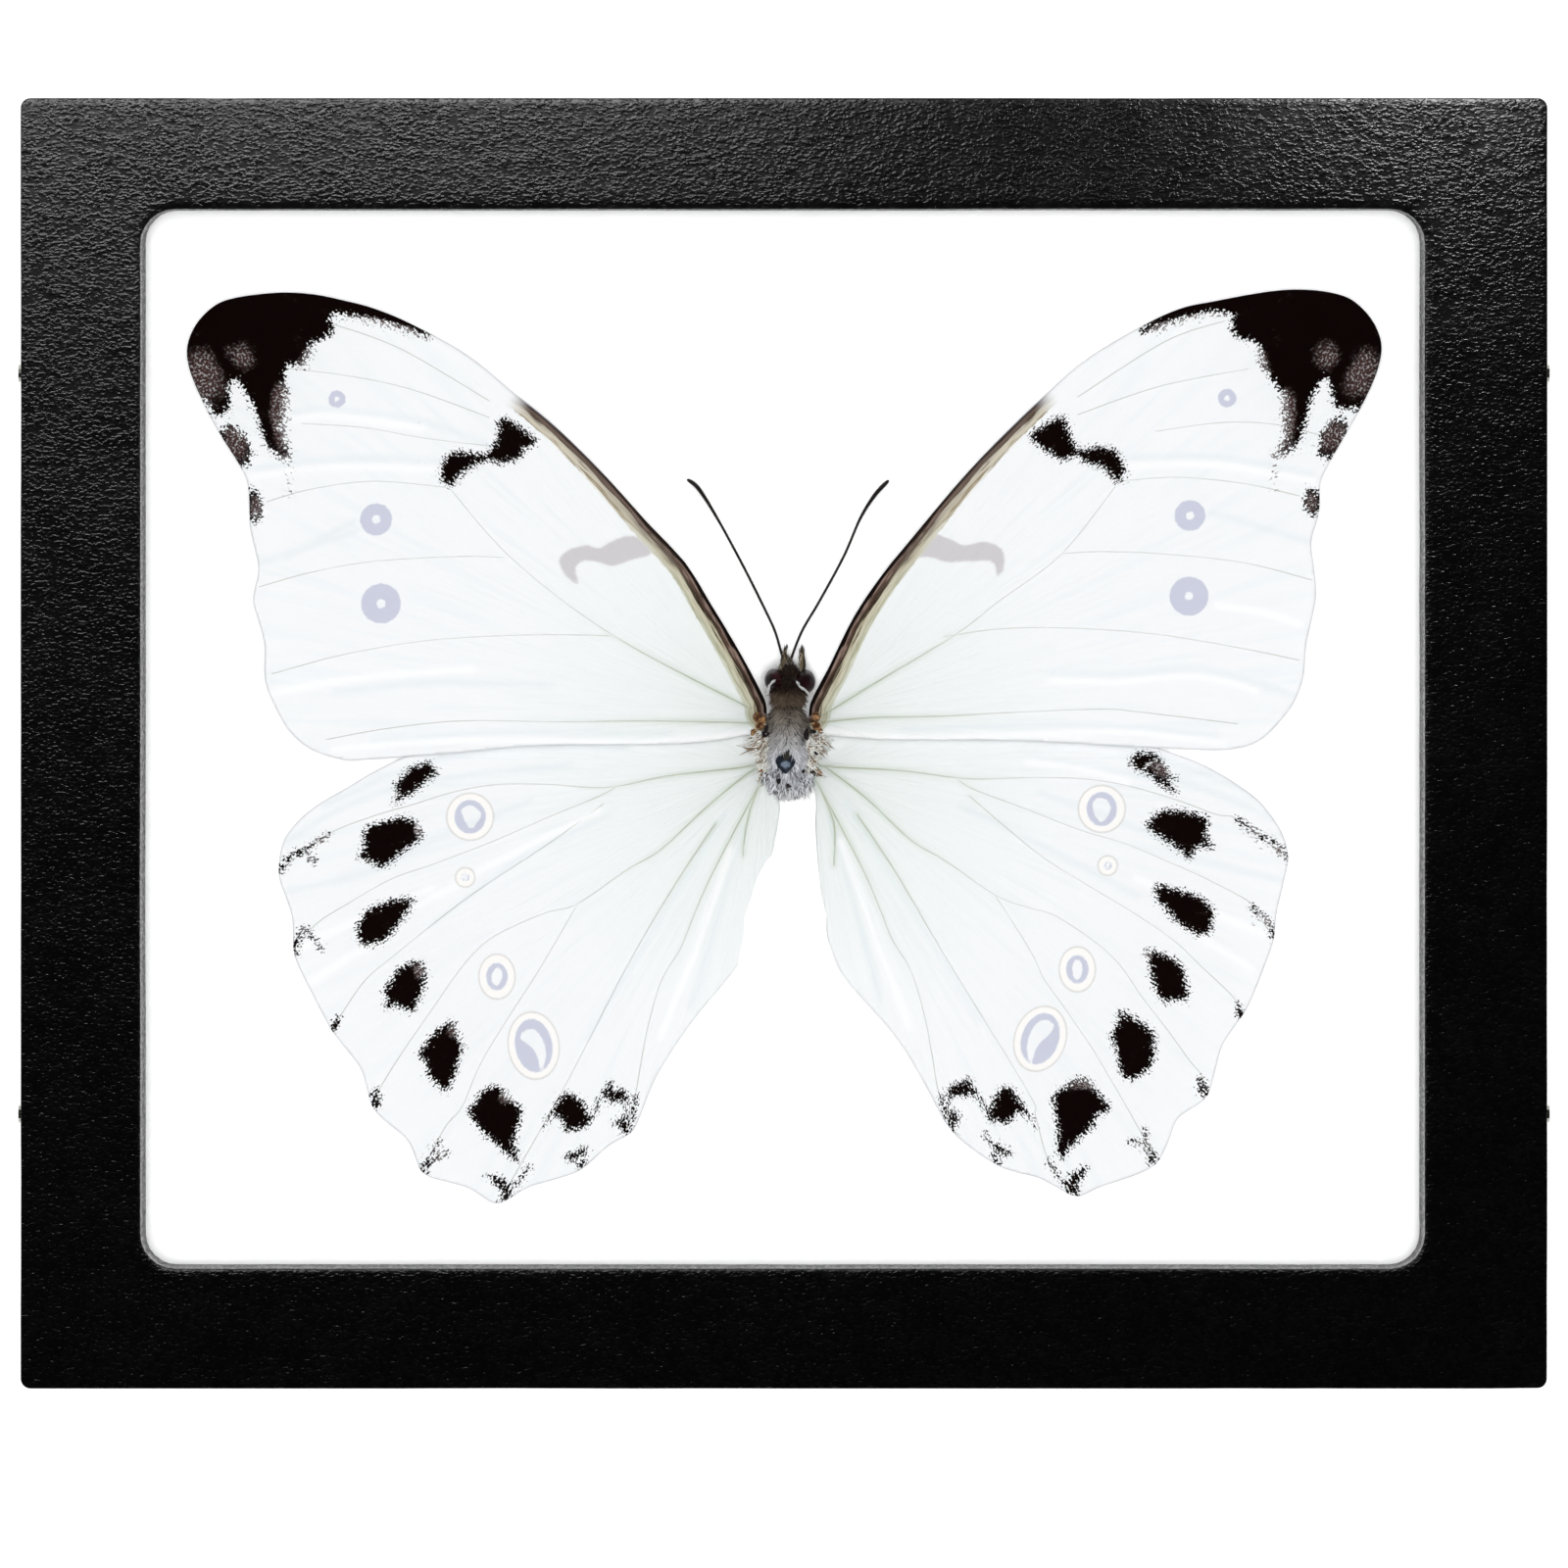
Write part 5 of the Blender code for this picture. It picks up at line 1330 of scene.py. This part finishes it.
for name, lumps, finish in (("wing_hinges", KNOBS, hinge), ("joint_gaps", GAPS, gap_dark)):
    bm = bmesh.new()
    for lump_radii, place in lumps:
        for vertex in ball(bm, lump_radii, place, 20, 14):
            vertex.co += LUMP_ROUGHNESS * noise.noise_vector(vertex.co / LUMP_GRAIN)
    piece = to_object(bm, name, [finish])
    piece.data.shade_smooth()

cream_down = Finish("cream hair", Roughness=0.75, Specular_IOR_Level=0.2)
tone_light = cream_down.attribute("tone")
cream_down.set(Base_Color=cream_down.mix(cream_down.step(tone_light, 0.12, 0.40),
                                         (0.26, 0.17, 0.09), (0.93, 0.925, 0.88)))
TUFTS = [  # count, from, to, aim and length
    (420, (-1.8, 0.9, 14.2), (-2.1, -3.4, 13.9), (-0.75, -0.75, 0.10), 1.6),
    (420, (2.5, 0.8, 14.2), (2.8, -3.3, 13.9), (0.75, -0.75, 0.10), 1.6),
    (60, (-3.0, -0.6, 14.6), (-2.4, 1.0, 14.8), (-0.95, -0.25, 0.0), 1.9),
    (60, (3.2, -0.6, 14.6), (3.7, 1.0, 14.8), (0.95, -0.25, 0.0), 1.9),
]
REAR_TUFTS = [
    (300, (-1.7, -3.8, 13.7), (2.4, -3.8, 13.7), (0.0, -1.0, 0.1), 1.25),
    (90, (-1.9, -3.2, 14.8), (-0.5, -4.7, 14.75), (-0.35, -0.90, 0.05), 0.9),
    (90, (2.7, -3.2, 14.8), (1.9, -4.7, 14.75), (0.25, -0.95, 0.05), 0.9),
    (70, (-0.4, -4.5, 14.3), (1.6, -4.5, 14.3), (0.0, -1.0, 0.05), 0.9),
]
TUFT_WIDE = (0.045, 0.09)
for name, tufts, finish in (("root_tufts", TUFTS, cream_down), ("rear_tufts", REAR_TUFTS, down)):
    roots, aims, length = [], [], []
    for count, start, end, aim_way, long in tufts:
        share = chance.uniform(0, 1, (count, 1))
        roots.append(np.array(start) * (1 - share) + np.array(end) * share
                     + chance.normal(0, (0.30, 0.25, 0.10), (count, 3)))
        aims.append(np.array(aim_way) + chance.normal(0, 0.45, (count, 3)) * (1, 1, 0.4))
        length.append(long * chance.uniform(0.3, 1.1, count))
    roots, aims, length = np.concatenate(roots), np.concatenate(aims), np.concatenate(length)
    total = len(roots)
    piece = pelt(name, roots, aims, length, chance.uniform(*TUFT_WIDE, total),
                 chance.uniform(0, 1, total), np.tile((0.0, 0.0, -0.3), (total, 1)), finish)


# Head. A round dark-haired head with two large glossy eyes, a white line of scales behind each,
# two upright mouth feelers, and a pair of thin clubbed antennae.
EYES = [((1.0, 1.18, 1.15), (-1.02, 6.50, 13.9)), ((1.05, 1.24, 1.15), (2.20, 6.35, 13.9))]
eye_gloss = Finish("compound eye", Roughness=0.16, Specular_IOR_Level=0.5, Coat_Weight=0.4)
facet = eye_gloss.node("ShaderNodeTexVoronoi", {}, {"Vector": eye_gloss.place,
                                                    "Scale": 1 / (0.07 * MM)}, "Distance")
flush = eye_gloss.grain(0.9, 2.0)
eye_gloss.set(Base_Color=eye_gloss.mix(eye_gloss.step(flush, 0.35, 0.7), (0.005, 0.002, 0.003),
                                       (0.024, 0.004, 0.007)),
              Normal=eye_gloss.bump(facet, 0.012))
bm = bmesh.new()
for eye_radii, place in EYES:
    ball(bm, eye_radii, place, 48, 32)
eyes = to_object(bm, "eyes", [eye_gloss])
eyes.data.shade_smooth()

SKULL = [((1.0, 1.35, 1.25), (0.55, 6.1, 13.7)), ((1.4, 1.0, 1.25), (0.38, 4.95, 13.6))]
bm = bmesh.new()
for skull_radii, place in SKULL:
    ball(bm, skull_radii, place, 32, 22)
for vertex in bm.verts:
    vertex.co += 0.12 * noise.noise_vector(vertex.co / 0.8)
skull = to_object(bm, "head_core", [chitin])
skull.data.shade_smooth()
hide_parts("head")

head_down = Finish("head hair", Roughness=0.7, Specular_IOR_Level=0.25)
tone_head = head_down.attribute("tone")
head_down.set(Base_Color=head_down.mix(tone_head, (0.006, 0.003, 0.003), (0.178, 0.126, 0.090)))
# The head's hair stands forwards over the face and lies back over the nape, where it is paler.
COLLAR = 2600
HEAD_MIDDLE = (0.42, 5.4, 13.4)
CROWN_X, CROWN_SHARE = 0.52, 0.62  # the crown is narrower than the nape
CROWN_FROM, FACE_FROM, NAPE_TO = 5.8, 6.6, 5.7
roots, outward = coat(COLLAR, HEAD_MIDDLE, (1.45, 2.2, 1.85), (4.3, 7.5), 95.0)
aims = outward * 0.5 + np.array((0.0, -0.75, 0.0)) + chance.normal(0, 0.35, (COLLAR, 3))
crown = roots[:, 1] > CROWN_FROM
roots[crown, 0] = CROWN_X + (roots[crown, 0] - HEAD_MIDDLE[0]) * CROWN_SHARE
forward = roots[:, 1] > FACE_FROM
nape = roots[:, 1] < NAPE_TO
aims[forward] = (outward[forward] * 0.7 + np.array((0.0, 0.6, 0.1))
                 + chance.normal(0, 0.3, (forward.sum(), 3)))
head_tone = chance.uniform(0, 1, COLLAR) ** 1.6 * 0.32
head_tone[nape] += (NAPE_TO - roots[nape, 1]) * chance.uniform(0.3, 1.7, nape.sum())
head_pelt = pelt("head_pelt", roots, aims, chance.uniform(0.3, 1.2, COLLAR),
                 chance.uniform(0.03, 0.065, COLLAR), head_tone,
                 np.tile((0.0, 0.0, -0.2), (COLLAR, 1)), head_down)

EYE_RIMS = [[(-0.95, 6.45), (-1.32, 6.15), (-1.55, 5.7), (-1.62, 5.2)],
            [(1.30, 6.35), (1.60, 5.85), (2.15, 5.45), (2.62, 4.95)]]
RIM_HEIGHTS = (15.05, 14.75)
white_down = Finish("white scales", Roughness=0.6, Specular_IOR_Level=0.2)
tone_white = white_down.attribute("tone")
white_down.set(Base_Color=white_down.mix(tone_white, (0.60, 0.60, 0.61), (0.95, 0.95, 0.95)))
roots, aims = [], []
for rim_line in EYE_RIMS:
    line = through(rim_line, step=0.008)
    drift = chance.normal(0, 0.045, (len(line), 2))
    roots.append(np.column_stack((line + drift, np.linspace(*RIM_HEIGHTS, len(line)))))
    along_line = np.gradient(line, axis=0)
    aims.append(np.column_stack((along_line / np.abs(along_line).max(), np.full(len(line), 0.1))))
roots = np.concatenate(roots)
aims = np.concatenate(aims) + chance.normal(0, 0.15, roots.shape)
total = len(roots)
eye_rims = pelt("eye_rims", roots, aims, chance.uniform(0.2, 0.45, total),
                chance.uniform(0.02, 0.035, total), chance.uniform(0, 1, total),
                np.zeros((total, 3)), white_down)


def stem(name, points, radius_at, finish, steps=0.2, resolution=3):
    """A tapering tube along a smooth line, as a mesh in millimetres."""
    flat = through([p[:2] for p in points], step=steps)
    heights = np.interp(np.linspace(0, len(points) - 1, len(flat)), range(len(points)),
                        [p[2] for p in points])
    curve = bpy.data.curves.new(name, "CURVE")
    curve.dimensions = "3D"
    curve.bevel_depth = 1.0
    curve.bevel_resolution = resolution
    curve.use_fill_caps = True
    spline = curve.splines.new("POLY")
    spline.points.add(len(flat) - 1)
    for k, (point, spot, z) in enumerate(zip(spline.points, flat, heights)):
        point.co = (*spot, z, 1.0)
        point.radius = radius_at(k / (len(flat) - 1), k)
    holder = bpy.data.objects.new(name, curve)
    mesh = bpy.data.meshes.new_from_object(holder)
    bpy.data.objects.remove(holder)
    bm = bmesh.new()
    bm.from_mesh(mesh)
    bmesh.ops.remove_doubles(bm, verts=bm.verts, dist=1e-4)
    bmesh.ops.recalc_face_normals(bm, faces=bm.faces)
    piece = to_object(bm, name, [finish])
    piece.data.shade_smooth()
    return piece


feeler_black = Finish("antenna", Specular_IOR_Level=0.4, Roughness=0.45)
ringing = feeler_black.grain(0.2, 2.0)
feeler_black.set(Base_Color=feeler_black.mix(ringing, (0.003, 0.0025, 0.003),
                                             (0.018, 0.012, 0.010)),
                 Normal=feeler_black.bump(ringing, 0.02))


SHAFT_R, CLUB_R, RING_RISE = 0.125, 0.215, 0.008
CLUB_FROM, CLUB_FULL, TIP_FROM = 0.70, 0.92, 0.95


def antenna_radius(share, joint):
    """A thin ringed shaft that swells to a club in its last quarter."""
    club = min(max((share - CLUB_FROM) / (CLUB_FULL - CLUB_FROM), 0.0), 1.0) ** 1.5
    tip = max(share - TIP_FROM, 0.0) / 0.055
    thick = SHAFT_R + (CLUB_R - SHAFT_R) * club + RING_RISE * (joint % 2)
    return thick * math.sqrt(max(1 - tip ** 2, 0.05))


ANTENNAE = {
    "antenna_left": [(0.2, 7.6, 14.3), (-0.2, 9.0, 14.4), (-0.9, 11.4, 14.6), (-1.9, 13.6, 14.7),
                     (-4.1, 18.0, 14.8), (-6.7, 22.8, 14.9), (-8.7, 26.0, 14.9),
                     (-9.9, 27.0, 14.9)],
    "antenna_right": [(0.5, 7.6, 14.3), (0.85, 9.0, 14.4), (1.9, 11.6, 14.6),
                      (3.6, 14.5, 14.7), (6.1, 19.1, 14.8), (7.8, 23.0, 14.9),
                      (9.3, 25.4, 14.9), (10.7, 26.9, 14.9)],
}
for name, points in ANTENNAE.items():
    antenna = stem(name + "_ringed", points, antenna_radius, feeler_black)
    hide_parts(name)

palp_skin = Finish("mouth feelers", Roughness=0.6, Specular_IOR_Level=0.25)
palp_mix = palp_skin.grain(0.22, 3.0, palp_skin.turned(stretch=(1.0, 0.3, 1.0)))
palp_skin.set(Base_Color=palp_skin.mix(palp_skin.step(palp_mix, 0.4, 0.65),
                                       (0.016, 0.010, 0.008), (0.20, 0.16, 0.10)),
              Normal=palp_skin.bump(palp_mix, 0.04))
PALPS = {
    "palp_left": [(-0.15, 7.5, 14.0), (0.0, 8.6, 14.25), (0.10, 9.3, 14.4), (0.22, 9.95, 14.5)],
    "palp_right": [(1.85, 7.5, 14.0), (1.88, 8.6, 14.25), (1.85, 9.3, 14.4),
                   (1.78, 9.95, 14.5)],
}
for name, points in PALPS.items():
    palp = stem(name + "_scaled", points, lambda share, joint: 0.30 * (1 - share ** 2.2) + 0.02,
                palp_skin, 0.12, 5)
    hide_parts(name)
FRINGE = 170  # hairs in each row along a mouth feeler
FRINGES = [(-0.35, 7.5, 0.12, 9.6, 0.35), (0.75, 7.4, 0.45, 8.6, 0.15),  # from, to, pale share
           (1.72, 7.4, 1.72, 9.4, 0.5), (2.05, 7.4, 1.90, 9.5, 0.02)]
roots, aims, tone = [], [], []
for x0, y0, x1, y1, pale_share in FRINGES:
    share = chance.uniform(0, 1, (FRINGE, 1))
    roots.append(np.column_stack((x0 + (x1 - x0) * share, y0 + (y1 - y0) * share,
                                  14.25 + 0.25 * share)) + chance.normal(0, 0.09, (FRINGE, 3)))
    aims.append(np.array((x1 - x0, y1 - y0, 0.1)) + chance.normal(0, 0.22, (FRINGE, 3)))
    tone.append(np.where(chance.uniform(0, 1, FRINGE) < pale_share, 0.9, 0.05))
roots, aims, tone = np.concatenate(roots), np.concatenate(aims), np.concatenate(tone)
total = len(roots)
palp_hair = Finish("mouth feeler hair", Roughness=0.7, Specular_IOR_Level=0.2)
palp_hair.set(Base_Color=palp_hair.mix(palp_hair.attribute("tone"), (0.010, 0.006, 0.005),
                                       (0.62, 0.56, 0.44)))
palp_pelt = pelt("palp_pelt", roots, aims, chance.uniform(0.35, 0.7, total),
                 chance.uniform(0.025, 0.045, total), tone, np.zeros((total, 3)), palp_hair)
